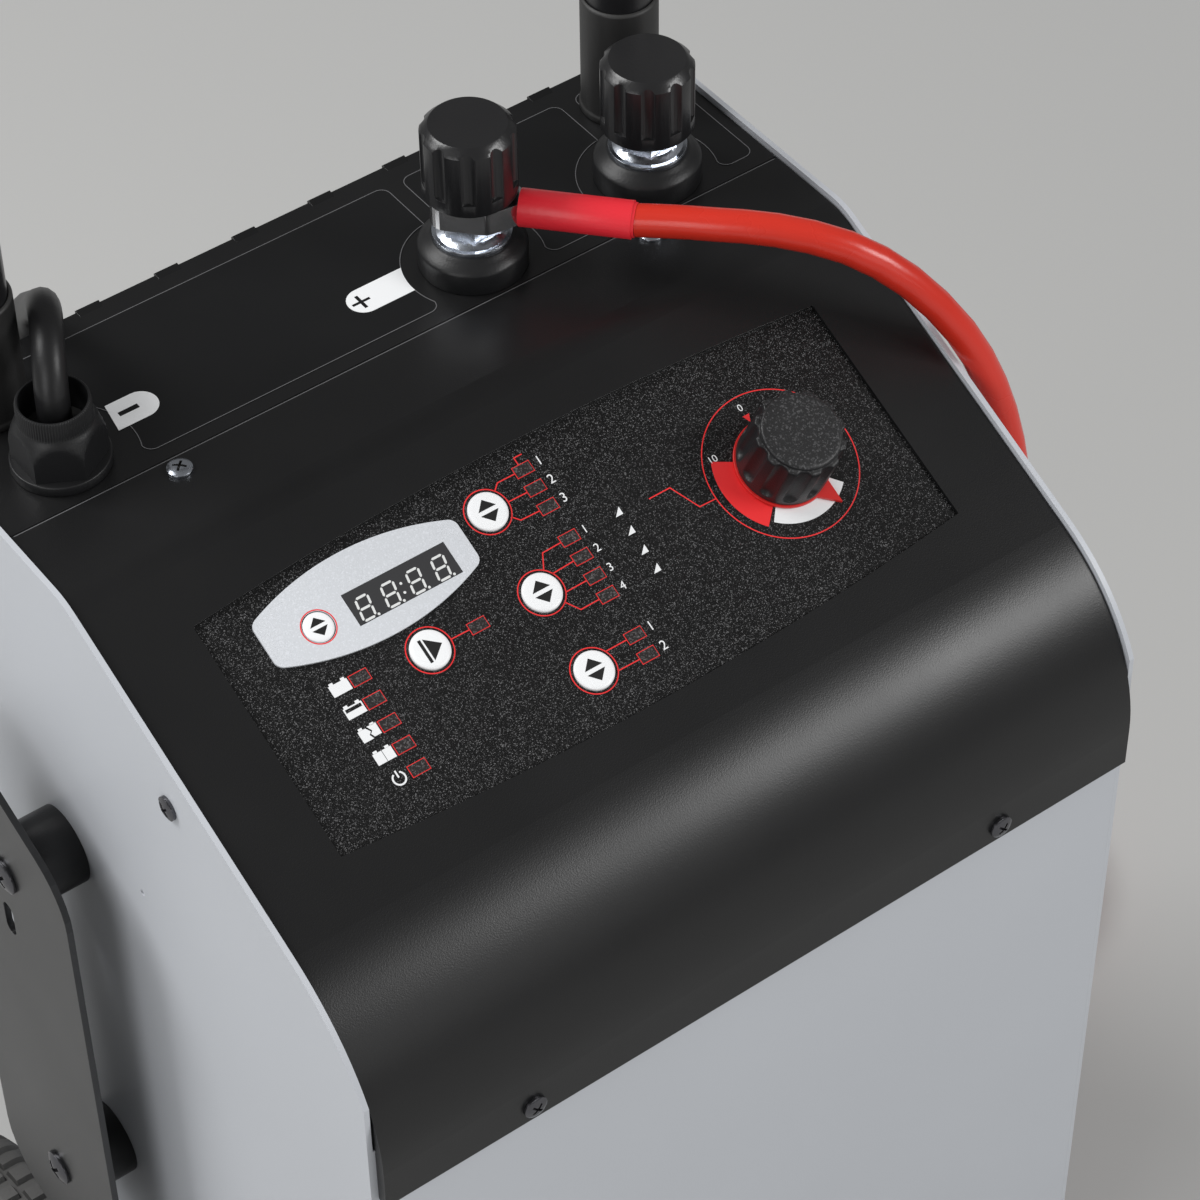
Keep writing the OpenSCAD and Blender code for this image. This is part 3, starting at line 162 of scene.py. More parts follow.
# %% Draw the leads
def draw_lead(name, line, replaced):
    curve = bpy.data.curves.new(name, "CURVE")
    curve.dimensions = "3D"
    curve.bevel_depth = 1
    curve.bevel_resolution = 5
    curve.use_fill_caps = True
    spline = curve.splines.new("POLY")
    spline.points.add(len(line) - 1)
    for point, at in zip(spline.points, line):
        point.co = (*(at * MM), 1)
        point.radius = LEAD_R * MM
    spline.use_smooth = True
    lead = bpy.data.objects.new(name, curve)
    scene.collection.objects.link(lead)
    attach(lead, "cabinet")
    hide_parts(*replaced)
    return lead


red_lead = draw_lead("red_output_lead", red_line, ["red_lead", "red_coil"])
black_lead = draw_lead("black_output_lead", black_line, ["black_lead", "black_coil"])
print("points along the leads:", len(red_line), "and", len(black_line))

# %% [markdown]
# ## Shader nodes
# The floor's paint, the sky and every finish are small networks of nodes. A few helpers keep them
# short: they add a node, feed its inputs with values or other nodes' outputs, and return an output.

# %% Helpers for shader nodes
def feed(tree, node, inputs):
    """Links each named input to another node's output, or gives it a plain value."""
    for name, source in inputs.items():
        if isinstance(source, bpy.types.NodeSocket):
            tree.links.new(source, node.inputs[name])
        else:
            node.inputs[name].default_value = source


def add_node(tree, kind, inputs, **settings):
    node = tree.nodes.new("ShaderNode" + kind)
    for setting, choice in settings.items():
        setattr(node, setting, choice)
    feed(tree, node, inputs)
    return node


def mix_colours(tree, factor, low, high):
    return add_node(tree, "Mix", {"Factor": factor, "A": low, "B": high}, data_type="RGBA").outputs["Result"]


def reckon(tree, operation, a, b, **settings):
    """The sum, product or other result of two numbers, as a node's output."""
    return add_node(tree, "Math", {0: a, 1: b}, operation=operation, **settings).outputs[0]


def between(tree, factor, low, high):
    """A number that goes from one value to another as the factor goes from 0 to 1."""
    return add_node(tree, "MapRange", {"Value": factor, "To Min": low, "To Max": high}).outputs["Result"]


def object_place(tree):
    return add_node(tree, "TexCoord", {}).outputs["Object"]


# %% [markdown]
# ## Floor, sky and lamps
# A studio has a pale floor and large soft lamps. One big lamp stands behind the machine's left
# shoulder, and another in front of it on the right, where the cover's lower bend mirrors it as a long
# pale streak. The sky is a plain pale grey, and dimmer where glossy pieces mirror it, as the dark
# walls of a studio would be.

# %% Floor
FLOOR_HALF = 9.0
LAMPLIT_TO, PALE_FROM = 1.2, 4.5
floor_mesh = bpy.data.meshes.new("studio_floor")
floor_mesh.from_pydata([(x * FLOOR_HALF, y * FLOOR_HALF, 0) for x, y in ((-1, -1), (1, -1), (1, 1), (-1, 1))],
                       [], [(0, 1, 2, 3)])
studio_floor = bpy.data.objects.new("studio_floor", floor_mesh)
scene.collection.objects.link(studio_floor)
floor_paint = bpy.data.materials.new("floor_paint")
floor_paint.use_nodes = True
tree = floor_paint.node_tree
stains = add_node(tree, "TexNoise", {"Scale": 2.2, "Detail": 3})
tones = mix_colours(tree, stains.outputs["Fac"], (0.40, 0.40, 0.395, 1), (0.50, 0.50, 0.49, 1))
# The lamps stand close to the machine, so the floor is painted paler further out, where they reach less.
away = add_node(tree, "VectorMath", {0: object_place(tree)}, operation="LENGTH")
far = add_node(tree, "MapRange", {"Value": away.outputs["Value"], "From Min": LAMPLIT_TO,
                                  "From Max": PALE_FROM})
paint = mix_colours(tree, far.outputs["Result"], tones, (0.93, 0.93, 0.92, 1))
feed(tree, tree.nodes["Principled BSDF"], {"Base Color": paint, "Roughness": 0.75})
floor_mesh.materials.append(floor_paint)
print("floor:", 2 * FLOOR_HALF, "m square")

# %% Sky and lamps
SKY_STRENGTH, SEEN_STRENGTH, MIRRORED_SHARE = 0.42, 0.9, 0.36
world = bpy.data.worlds.new("studio_sky")
world.use_nodes = True
scene.world = world
tree = world.node_tree
ray = add_node(tree, "LightPath", {}).outputs
seen = reckon(tree, "MAXIMUM", ray["Is Camera Ray"], ray["Is Transmission Ray"])
strength = between(tree, seen, SKY_STRENGTH, SEEN_STRENGTH)
dimmed = reckon(tree, "MULTIPLY", strength, between(tree, ray["Is Glossy Ray"], 1, MIRRORED_SHARE))
feed(tree, tree.nodes["Background"], {"Color": (1, 1, 1, 1), "Strength": dimmed})


def soft_lamp(name, at, aim, size, power):
    """A square area lamp that looks at a point."""
    data = bpy.data.lights.new(name, "AREA")
    data.shape, data.size, data.size_y, data.energy = "RECTANGLE", size[0], size[1], power
    lamp = bpy.data.objects.new(name, data)
    lamp.location = at
    lamp.rotation_euler = (Vector(aim) - Vector(at)).to_track_quat("-Z", "Y").to_euler()
    scene.collection.objects.link(lamp)


soft_lamp("back_lamp", (-1.3, 1.3, 2.3), (0, 0, 0.5), (1.2, 1.2), 48)
soft_lamp("bend_lamp", (1.6, -1.85, 2.1), (0.05, -0.1, 0.47), (1.1, 0.8), 34)
soft_lamp("front_lamp", (0.2, -2.6, 1.2), (0, 0, 0.4), (1.5, 1.0), 5)
soft_lamp("left_lamp", (-2.3, -0.9, 1.6), (0, 0, 0.3), (1.2, 1.6), 16)
scene.view_settings.view_transform = "Standard"

# %% [markdown]
# ## Shared surface effects
# Real finishes are never one flat colour. Three effects turn up all over a machine like this one:
# the fine grain of powder coat and moulded plastic, painted glints (pale flakes in the colour that stand
# for the small highlights of a textured film), and the thin veil of dust that settles on whatever faces
# up. Each is a node group, built once, and every finish below places it with its own values.

# %% A helper for node groups
def effect_group(name, inputs, outputs):
    """An empty node group with float inputs and outputs, and the two nodes that stand for them."""
    group = bpy.data.node_groups.new(name, "ShaderNodeTree")
    for label, value in inputs.items():
        group.interface.new_socket(label, in_out="INPUT", socket_type="NodeSocketFloat").default_value = value
    for label in outputs:
        group.interface.new_socket(label, in_out="OUTPUT", socket_type="NodeSocketFloat")
    return group, group.nodes.new("NodeGroupInput"), group.nodes.new("NodeGroupOutput")


# %% Grain
grain, grain_in, grain_out = effect_group(
    "fine_grain", {"Scale": 2500.0, "Patches": 12.0}, ["Height", "Tone"])
where = object_place(grain)
for size, detail, result in (("Scale", 2, "Height"), ("Patches", 4, "Tone")):
    noise = add_node(grain, "TexNoise", {"Vector": where, "Scale": grain_in.outputs[size], "Detail": detail})
    feed(grain, grain_out, {result: noise.outputs["Fac"]})

# %% Painted glints
# Painted glints: cells of a chosen share give a mask that lays a paler tone into a finish's colour, in place of
# the small highlights of a textured surface.
painted_glints, painted_glints_in, painted_glints_out = effect_group(
    "painted_glints", {"Scale": 1500.0, "Share": 0.3}, ["Mask", "Height"])
where = object_place(painted_glints)
cells = add_node(painted_glints, "TexVoronoi", {"Vector": where, "Scale": painted_glints_in.outputs["Scale"]})
lot = add_node(painted_glints, "SeparateColor", {"Color": cells.outputs["Color"]}).outputs
start = reckon(painted_glints, "SUBTRACT", 1, painted_glints_in.outputs["Share"])
bright = add_node(painted_glints, "MapRange", {"Value": lot["Red"], "From Min": start})
feed(painted_glints, painted_glints_out, {"Mask": bright.outputs["Result"], "Height": lot["Green"]})

# %% Dust
dust, dust_in, dust_out = effect_group("dust", {"Amount": 0.1, "Scale": 18.0}, ["Mask"])
facing = add_node(dust, "NewGeometry", {}).outputs["Normal"]
upward = add_node(dust, "SeparateXYZ", {"Vector": facing}).outputs["Z"]
where = object_place(dust)
veil = add_node(dust, "TexNoise", {"Vector": where, "Scale": dust_in.outputs["Scale"], "Detail": 5})
settled = reckon(dust, "MULTIPLY", upward, veil.outputs["Fac"], use_clamp=True)
feed(dust, dust_out, {"Mask": reckon(dust, "MULTIPLY", settled, dust_in.outputs["Amount"])})
print("shared effects:", [g.name for g in bpy.data.node_groups])

# %% [markdown]
# ## Finishes
# Most finishes here differ only in colour, gloss and grain, so one recipe makes them: two close
# tones of the colour in broad patches, a veil of dust, a roughness that wanders with the patches, and
# the grain as bump. Values that are the same all over sit on the shader itself.

# %% The common recipe
DUST_TONE = (0.42, 0.41, 0.39, 1)
WANDER = 0.07
FINISHES = {}


def finish(name, colour, rough, scale=2500, depth=20, metal=0, drift=0.12, dusty=0.05, patches=12, coat=0,
           glint_flakes=None, spec=0.5):
    """A paint, plastic, rubber or metal. Its grain has so many waves to the metre, depth in micrometres.

    The glint flakes are the share of pale flakes painted into the colour as glints of light, how many lie along a
    metre, and their tone.
    """
    material = bpy.data.materials.new(name)
    material.use_nodes = True
    tree = material.node_tree
    texture = add_node(tree, "Group", {"Scale": scale, "Patches": patches}, node_tree=grain)
    tone, height = texture.outputs["Tone"], texture.outputs["Height"]
    darker, lighter = ((*[min(c * share, 1) for c in colour], 1) for share in (1 - drift, 1 + drift))
    look = mix_colours(tree, tone, darker, lighter)
    # Pale flakes painted into the colour stand in for glints of light.
    if glint_flakes:
        share, flakes, glint_tone = glint_flakes
        glint_layer = add_node(tree, "Group", {"Scale": flakes, "Share": share}, node_tree=painted_glints)
        look = mix_colours(tree, glint_layer.outputs["Mask"], look, (*glint_tone, 1))
        height = glint_layer.outputs["Height"]
    if dusty:
        veil = add_node(tree, "Group", {"Amount": dusty}, node_tree=dust)
        look = mix_colours(tree, veil.outputs["Mask"], look, DUST_TONE)
    wander = between(tree, tone, max(rough - WANDER, 0.02), min(rough + WANDER, 1))
    bump = add_node(tree, "Bump", {"Height": height, "Distance": depth * 1e-6})
    feed(tree, tree.nodes["Principled BSDF"], {
        "Base Color": look, "Roughness": wander, "Normal": bump.outputs["Normal"], "Metallic": metal,
        "Coat Weight": coat, "Specular IOR Level": spec})
    FINISHES[name] = material


# %% [markdown]
# Powder coat is baked plastic dust: satin, with a grain like very fine orange peel. Moulded nylon and
# rubber are rougher and hold more dust. Zinc plate is a bright, slightly blue metal whose passivation
# gives it cloudy patches. Film, badge, diffusers and the knob's top carry pale flakes painted into their
# colour as glints of light, and inks and vinyls are nearly flat.

# %% Paints, metals, plastics, rubber and inks
finish("grey_powder_coat", (0.50, 0.52, 0.555), 0.42, 1600, 30, drift=0.025, dusty=0)
finish("zinc_sheet", (0.55, 0.56, 0.57), 0.38, 700, 10, metal=1)
finish("black_powder_coat", (0.006, 0.0061, 0.0066), 0.34, 1900, 40, drift=0.1, dusty=0.01, spec=0.45)
finish("zinc_plate", (0.66, 0.70, 0.77), 0.26, 400, metal=1, drift=0.14, dusty=0, patches=160)
finish("black_screw", (0.11, 0.11, 0.12), 0.22, 900, metal=0.9)
finish("badge_silver", (0.60, 0.62, 0.65), 0.42, 2400, 30, drift=0.02, dusty=0,
       glint_flakes=(0.3, 2300, (0.68, 0.70, 0.74)))
finish("display_dark", (0.045, 0.045, 0.047), 0.2, 300, 0, drift=0.1, dusty=0, spec=0.25)
finish("module_grey", (0.16, 0.16, 0.17), 0.5)
finish("button_white", (0.86, 0.87, 0.88), 0.33, 2600, drift=0.02, dusty=0)
finish("board_green", (0.03, 0.17, 0.08), 0.3, 500, 50, coat=0.5)
finish("pot_steel", (0.5, 0.5, 0.5), 0.32, metal=1)
finish("knob_black", (0.012, 0.012, 0.0135), 0.42, 1500, 110, drift=0.1, dusty=0.02)
# On the knob's top the pale flakes are painted glints, which make the top read lit.
finish("knob_top_grain_and_glints", (0.011, 0.011, 0.012), 0.45, 1300, 300, drift=0.1, dusty=0.02,
       glint_flakes=(0.3, 1900, (0.075, 0.075, 0.078)))
# Painted shade for the cross recess in a screw head.
finish("recess_painted_shade", (0.02, 0.02, 0.02), 0.6, 1500)
finish("pointer_red", (0.62, 0.018, 0.016), 0.35, 1800, drift=0.04, dusty=0)
finish("black_nylon", (0.010, 0.0102, 0.011), 0.40, 1400, 60, dusty=0.015, spec=0.35)
finish("hand_knob_black", (0.01, 0.01, 0.011), 0.3, 1100, 40, dusty=0.03)
finish("tinned_lug", (0.68, 0.68, 0.69), 0.2, 260, 50, metal=1, dusty=0, patches=120)
finish("sleeve_red", (0.78, 0.024, 0.038), 0.38, 700, 70, drift=0.08, dusty=0)
finish("black_rubber", (0.013, 0.013, 0.013), 0.5, 1000, 50, dusty=0.08)
finish("handle_black", (0.011, 0.011, 0.012), 0.3, 1300, 30, dusty=0.03)
finish("cleat_paint", (0.012, 0.0122, 0.013), 0.32, 1500, 30, dusty=0.01)
finish("tyre_rubber", (0.018, 0.018, 0.018), 0.62, 700, 120, dusty=0.2)
finish("rim_plastic", (0.33, 0.012, 0.014), 0.3, 1200, 30, dusty=0.08)
finish("core_steel", (0.23, 0.24, 0.25), 0.4, 900, 100, metal=1)
finish("copper_winding", (0.45, 0.2, 0.07), 0.4, 500, 300, metal=0.5)
finish("heatsink_aluminium", (0.6, 0.61, 0.62), 0.35, 600, 30, metal=1)
finish("fan_black", (0.025, 0.025, 0.028), 0.4, 1200, 40, dusty=0.15)
finish("lead_red", (0.60, 0.028, 0.014), 0.27, 500, 40, drift=0.05, dusty=0, patches=30)
finish("lead_black", (0.010, 0.010, 0.0107), 0.40, 900, 40, dusty=0.01, patches=40, spec=0.4)
finish("clamp_red", (0.50, 0.018, 0.018), 0.32, 1300, 40)
finish("clamp_black", (0.02, 0.02, 0.02), 0.35, 1300, 40)
finish("jaw_copper", (0.72, 0.37, 0.21), 0.3, 500, 40, metal=1, dusty=0, patches=90)
finish("panel_film", (0.003, 0.003, 0.0032), 0.42, 2000, 140, dusty=0,
       glint_flakes=(0.17, 3600, (0.16, 0.16, 0.163)), spec=0.35)
finish("led_diffuser", (0.022, 0.019, 0.019), 0.5, 2000, 50, dusty=0,
       glint_flakes=(0.35, 2300, (0.12, 0.113, 0.113)), spec=0.25)
finish("ink_red", (0.80, 0.028, 0.03), 0.38, 2200, 10, drift=0.05, dusty=0)
finish("ink_white", (0.80, 0.81, 0.82), 0.4, 2200, 10, drift=0.03, dusty=0)
finish("ink_black", (0.012, 0.012, 0.012), 0.4, 2200, 10, drift=0.05, dusty=0)
finish("segment_grey", (0.70, 0.71, 0.70), 0.4, drift=0.04, dusty=0)
finish("label_vinyl", (0.0065, 0.0067, 0.0073), 0.33, 1500, drift=0.06, dusty=0.01, spec=0.3)
# A painted highlight, for the thin pale edge of the labels and of the seam.
finish("painted_edge_highlight", (0.13, 0.13, 0.135), 0.4, 1500, 10, drift=0.3, dusty=0)
print("finishes:", len(FINISHES))

# %% [markdown]
# ## Dress the model's own pieces
# Every node that stays takes the finish of its slot. Folded sheet and moulded plastic never have a
# perfectly sharp edge, and the eye reads a razor edge as fake, so a small bevel rounds each one and
# catches the light.

# %% Finishes and soft edges
SLOT_OF = {s["node"]: s["material_slot"] for s in frame["record"]["subparts"]}
EDGE_ROUND = {
    0.15: ["dial_pointer"],
    0.25: ["cover_screws", "side_screws"],
    0.3: ["front_panel", "rear_panel", "post_nuts", "cleat_bolts", "fan_guard"],
    0.35: ["control_cover", "top_plate", "side_panel_left", "side_panel_right"],
    0.4: ["lug_sleeve", "cleat_plates", "handle_grip", "handle_collars", "mains_gland"],
    0.5: ["lead_lug", "post_insulators", "gland_body", "cleat_spacers", "axle"],
    0.8: ["post_knob_first", "post_knob_second", "rim_left", "rim_right", "front_feet"],
    0.9: ["red_jaw_fixed", "red_jaw_moving", "black_jaw_fixed", "black_jaw_moving"]}

# A sheet's flat sides are made whole first, so that no thin triangle runs from one screw hole to the
# next, and they keep their own shading right up to the holes.
SHEETS = {"control_cover", "top_plate", "side_panel_left", "side_panel_right", "front_panel", "rear_panel",
          "cleat_plates"}
SHARPEST, FLAT_WITHIN = math.radians(32), math.radians(0.4)


def modify(piece, name, kind, **settings):
    modifier = piece.modifiers.new(name, kind)
    for setting, choice in settings.items():
        setattr(modifier, setting, choice)


def soften(piece, radius_mm):
    """Rounds the sharp edges of a piece and lets its curved faces shade as smooth ones."""
    sheet = piece.name in SHEETS
    modify(piece, "weld", "WELD", merge_threshold=0.00001)
    if sheet:
        modify(piece, "whole_sides", "DECIMATE", decimate_type="DISSOLVE", angle_limit=FLAT_WITHIN)
    modify(piece, "soft_edges", "BEVEL", width=radius_mm * MM, segments=2, limit_method="ANGLE",
           angle_limit=SHARPEST, use_clamp_overlap=True, harden_normals=not sheet)
    if sheet:
        modify(piece, "flat_sides", "WEIGHTED_NORMAL", mode="FACE_AREA", weight=100, keep_sharp=True)


for node, piece in NODES.items():
    piece.data.materials.clear()
    piece.data.materials.append(FINISHES[SLOT_OF[node]])
for radius, nodes in EDGE_ROUND.items():
    for node in nodes:
        soften(NODES[node], radius)
for lead, slot in ((red_lead, "lead_red"), (black_lead, "lead_black")):
    lead.data.materials.append(FINISHES[slot])
print("softened pieces:", sum(len(nodes) for nodes in EDGE_ROUND.values()))

# %% [markdown]
# The screws of the cover's skirt are blackened. Those of the deck are zinc plated, and the cross in
# their heads is painted dark as shade. All are one node, so each face takes the finish of the place it has.

# %% Screws
DECK_SCREWS = [Vector((x * 96.3, 40.155)) * MM for x in (-1, 1)]
CROSS_R, CROSS_DEPTH, SKIRT_BELOW = 2.55 * MM, 0.5 * MM, 0.5
cover_screws = NODES["cover_screws"]
cover_screws.data.materials.append(FINISHES["black_screw"])
cover_screws.data.materials.append(FINISHES["recess_painted_shade"])
screw_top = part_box("cover_screws")[1][2]
for face in cover_screws.data.polygons:
    at = cover_screws.matrix_world @ face.center
    inner = min((at.xy - spot).length for spot in DECK_SCREWS) < CROSS_R
    sunk = at.z < screw_top - CROSS_DEPTH or abs(face.normal.z) < 0.5
    # Faces down in the deck screws' cross take the painted shade.
    face.material_index = 1 if at.z < SKIRT_BELOW else 2 * int(inner and sunk)
print("screw faces:", len(cover_screws.data.polygons))

# %% [markdown]
# ## Printing on the panel
# The panel plate carries a screen print: rings round the buttons, lines to the status windows, the
# dial's scale and a few pictograms. Real ink stands a few hundredths of a millimetre proud, so each
# print is a very thin solid of its own. A strip of given width along a line makes rings, lines and
# scale arcs alike, and a patch fills an outline.

# %% The panel's own axes
JOINT = {j["name"]: j for j in frame["joints"]}
dial_pos = Vector(JOINT["dial_turn"]["pos_m"])
face_out = Vector(JOINT["dial_turn"]["axis"]).normalized()
ACROSS, AWAY, UP = Vector((1, 0, 0)), Vector((0, 1, 0)), Vector((0, 0, 1))
FILM = -1.5 * MM


def place_on(origin, x_axis, y_axis, z_axis):
    return Matrix.Translation(origin) @ Matrix((x_axis, y_axis, z_axis)).transposed().to_4x4()


def at_mm(place, x, y, z=0):
    """A place moved by so many millimetres along its own axes."""
    return place @ Matrix.Translation(Vector((x, y, z)) * MM)


up_slope = face_out.cross(ACROSS).normalized()
panel = place_on(Vector((0, dial_pos.y, dial_pos.z)), ACROSS, up_slope, face_out)
print("panel slopes", round(math.degrees(math.acos(face_out.z)), 2), "degrees")


# %% Outlines
def arc(cx, cy, radius, start, end, steps=48):
    """Points along an arc, angles in degrees, anticlockwise."""
    angles = [math.radians(start + (end - start) * k / steps) for k in range(steps + 1)]
    return [(cx + radius * math.cos(a), cy + radius * math.sin(a)) for a in angles]


def block(cx, cy, w, h):
    """The corners of a rectangle, anticlockwise."""
    return [(cx + i * w / 2, cy + j * h / 2) for i, j in ((-1, -1), (1, -1), (1, 1), (-1, 1))]


def shifted(outline, x, y):
    return [(px + x, py + y) for px, py in outline]


# %% Pieces of mesh
def dressed(name, mesh, slot, finish_name=None, body="cabinet"):
    """Makes a mesh a piece of the machine, with its finish, riding on a body of the model."""
    mesh.materials.append(FINISHES[finish_name or slot])
    piece = bpy.data.objects.new(name, mesh)
    scene.collection.objects.link(piece)
    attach(piece, body)
    return piece


def solid(name, points, faces, slot, finish_name=None, body="cabinet", smooth=True):
    """A piece built from points and faces."""
    mesh = bpy.data.meshes.new(name)
    mesh.from_pydata(points, [], faces)
    mesh.validate()
    if smooth:
        mesh.shade_smooth()
    return dressed(name, mesh, slot, finish_name, body)


def meshed(curve, place):
    """The mesh that a text or a flat curve makes at that place."""
    holder = bpy.data.objects.new(curve.name + "_holder", curve)
    holder.matrix_world = place
    scene.collection.objects.link(holder)
    bpy.context.view_layer.update()
    mesh = bpy.data.meshes.new_from_object(holder.evaluated_get(bpy.context.evaluated_depsgraph_get()))
    mesh.transform(holder.matrix_world)
    bpy.data.objects.remove(holder)
    mesh.name = curve.name
    mesh.materials.clear()
    return mesh


# %% Printing tool
class Print:
    """Flat shapes in millimetres on a face, gathered into one thin closed mesh."""

    def __init__(self, place, low, high):
        self.place, self.low, self.high = place, low, high
        self.points, self.faces = [], []

    def add(self, outline, height):
        first = len(self.points)
        self.points += [self.place @ Vector((x * MM, y * MM, height)) for x, y in outline]
        return first

    def patch(self, outline):
        """Fills an outline that runs anticlockwise."""
        n = len(outline)
        a, b = self.add(outline, self.low), self.add(outline, self.high)
        self.faces.append([b + i for i in range(n)])
        self.faces.append([a + i for i in reversed(range(n))])
        self.faces += [[a + i, a + (i + 1) % n, b + (i + 1) % n, b + i] for i in range(n)]

    def strip(self, line, width, closed=False):
        """A band of that width along a line, whose ends are joined if it is closed."""
        n = len(line)
        left, right_side = [], []
        for i, here in enumerate(line):
            before = line[i - 1] if closed or i else here
            after = line[(i + 1) % n] if closed or i < n - 1 else here
            legs = [(Vector(q) - Vector(p)).normalized() for p, q in ((before, here), (here, after))
                    if q != p]
            way = (legs[0] + legs[-1]).normalized()
            half = width / 2 / max(way.dot(legs[0]), 0.3)
            left.append((here[0] - way.y * half, here[1] + way.x * half))
            right_side.append((here[0] + way.y * half, here[1] - way.x * half))
        rows = [self.add(side, h) for side, h in
                ((right_side, self.low), (left, self.low), (left, self.high), (right_side, self.high))]
        for i in range(n if closed else n - 1):
            j = (i + 1) % n
            for a, b in zip(rows, rows[1:] + rows[:1]):
                self.faces.append([a + i, b + i, b + j, a + j])
        if not closed:
            self.faces += [rows[::-1], [r + n - 1 for r in rows]]

    def ring(self, cx, cy, radius, width, steps=72):
        self.strip(arc(cx, cy, radius, 0, 360, steps)[:-1], width, closed=True)

    def make(self, name, slot, ink, body="cabinet"):
        """Turns what was gathered into a piece that rides on a body."""
        solid(name, self.points, self.faces, slot, ink, body, smooth=False)


INK, SUNK = 0.05 * MM, 0.02 * MM

# %% [markdown]
# The lines join each button's ring to its status windows. All places are in millimetres across the
# panel and up the slope from the height of the dial. A band of the dial's scale is its radius, its
# start and end in degrees, and its steps.

# %% Rings, window frames and lines
LARGE_R, METER_X, METER_Y = 7, -90, 24.4
BUTTONS = {"function_button": (-18, 32.4, LARGE_R), "capacity_button": (-18, -0.4, LARGE_R),
           "battery_button": (-18, -31.7, LARGE_R), "start_button": (-62, 0.4, LARGE_R),
           "meter_button": (METER_X, METER_Y, 5.3)}
WINDOWS = [(1.2, y) for y in (39.7, 32.1, 24.5, 11.6, 4, -3.9, -11.5, -27.9, -35.7)]
CHOICES = (1, 2, 3, 1, 2, 3, 4, 1, 2)
STATUS = [(-87.4, y) for y in (3.4, -5.4, -14.2, -23, -31.8)]
START_WINDOW = (-43.2, 0.1)
RING_R, LINE_W = 8.15, 0.42
DIAL_RING_R, RED_BAND, WHITE_BAND = 27.7, (20.3, 151, 225, 40), (19.2, 228.5, 314, 44)
RED_BAND_W, WHITE_BAND_W = 8.6, 6.4
FRAME_W, FRAME_H, FRAME_LINE = 6.5, 3.9, 0.5
LINES = [
    [(-11.7, 37.6), (-9.3, 39.7), (-2.2, 39.7)], [(0.7, 41.9), (0.7, 44.7), (3.9, 44.7)],
    [(-9.8, 32.2), (-2.2, 32.1)], [(-11.6, 26.8), (-9.7, 24.7), (-2.2, 24.5)],
    [(-12.9, 6.1), (-9.8, 11.4), (-2.2, 11.6)], [(-11, 3.6), (-2.2, 4)],
    [(-10.6, -4), (-2.2, -3.9)], [(-13, -6.9), (-9.7, -11.6), (-2.2, -11.5)],
    [(-10.8, -27.9), (-2.2, -27.9)], [(-10.8, -35.6), (-2.2, -35.7)],
    [(-53.8, 0.3), (-46.6, 0.2)], [(33.4, 10.6), (42.1, 10.6), (47.3, 0), (53.9, -0.2)]]
dial_x = dial_pos.x / MM
red_ink = Print(panel, FILM - SUNK, FILM + INK)
for x, y, radius in BUTTONS.values():
    if radius == LARGE_R:
        red_ink.ring(x, y, RING_R, LINE_W)
for x, y in WINDOWS + STATUS + [START_WINDOW]:
    red_ink.strip(block(x, y, FRAME_W, FRAME_H), FRAME_LINE, closed=True)
for line in LINES:
    red_ink.strip(line, LINE_W)
red_ink.ring(dial_x, 0, DIAL_RING_R, LINE_W, 144)
red_ink.strip(arc(dial_x, 0, *RED_BAND), RED_BAND_W)
red_ink.patch(shifted([(-2, 20.6), (-0.6, 17.6), (0.8, 20.6)], dial_x, 0))
red_ink.make("panel_print_red", "panel_film", "ink_red")
meter_ring = Print(panel, FILM + 0.78 * MM, FILM + 0.84 * MM)
meter_ring.ring(METER_X, METER_Y, 5.95, 0.4)
meter_ring.make("meter_ring_print", "badge_silver", "ink_red")
print("red print:", len(red_ink.points), "points")

# %% [markdown]
# White print is for pictograms: batteries beside the lower status windows, the power sign, plain
# numbers beside the choices, and the white part of the dial's scale. The numbers are a font's own
# digits, turned into meshes.

# %% White pictograms
ICON_X = -94.9
LID_LINE = [(-3.25, 0.35), (-3.25, 1.8), (3.25, 1.8), (3.25, 0.35)]
BATTERIES = [
    [block(0, 0, 7, 4.1)],
    [block(0, -0.85, 7, 2.3)],
    [[(-3.5, -2.2), (0.3, -2.2), (-0.4, -0.6), (0.6, 0.3), (-0.5, 2), (-3.5, 2)],
     [(0.9, -1.8), (3.5, -1.8), (3.5, 2.3), (0.1, 2.3), (1.2, 0.4), (0.2, -0.5)]],
    [block(-1.8, -0.05, 3.4, 4.1), block(1.8, -0.05, 3.4, 4.1)]]
white_ink = Print(panel, FILM - SUNK, FILM + INK)
white_ink.strip(arc(dial_x, 0, *WHITE_BAND), WHITE_BAND_W)
for (_, y), shapes in zip(STATUS, BATTERIES):
    for shape in [block(-2.2, 2.45, 1.5, 0.8), block(2.2, 2.45, 1.5, 0.8)] + shapes:
        white_ink.patch(shifted(shape, ICON_X, y))
white_ink.strip(shifted(LID_LINE, ICON_X, STATUS[1][1]), 0.5)
white_ink.strip(shifted(arc(0, 0, 2.2, 120, 420, 40), ICON_X, STATUS[4][1]), 0.6)
white_ink.strip(shifted([(0, 0.3), (0, 2.9)], ICON_X, STATUS[4][1]), 0.6)
for _, y in WINDOWS[3:7]:
    white_ink.patch(shifted([(19.5, -1.3), (22.5, -1.3), (22.5, 1.6)], 0, y))
white_ink.make("panel_print_white", "panel_film", "ink_white")
print("white print:", len(white_ink.points), "points")

# %% Plain numbers
CAPITAL_SHARE = 0.7


def numeral(name, digits, x, y, height):
    """A printed number, its left end at x and its middle at y."""
    text = bpy.data.curves.new(name, "FONT")
    text.body = digits
    text.size = height * MM / CAPITAL_SHARE
    text.extrude = INK / 2
    text.align_y = "CENTER"
    spot = panel @ Matrix.Translation((x * MM, y * MM, FILM + INK / 2))
    dressed(name, meshed(text, spot), "panel_film", "ink_white")


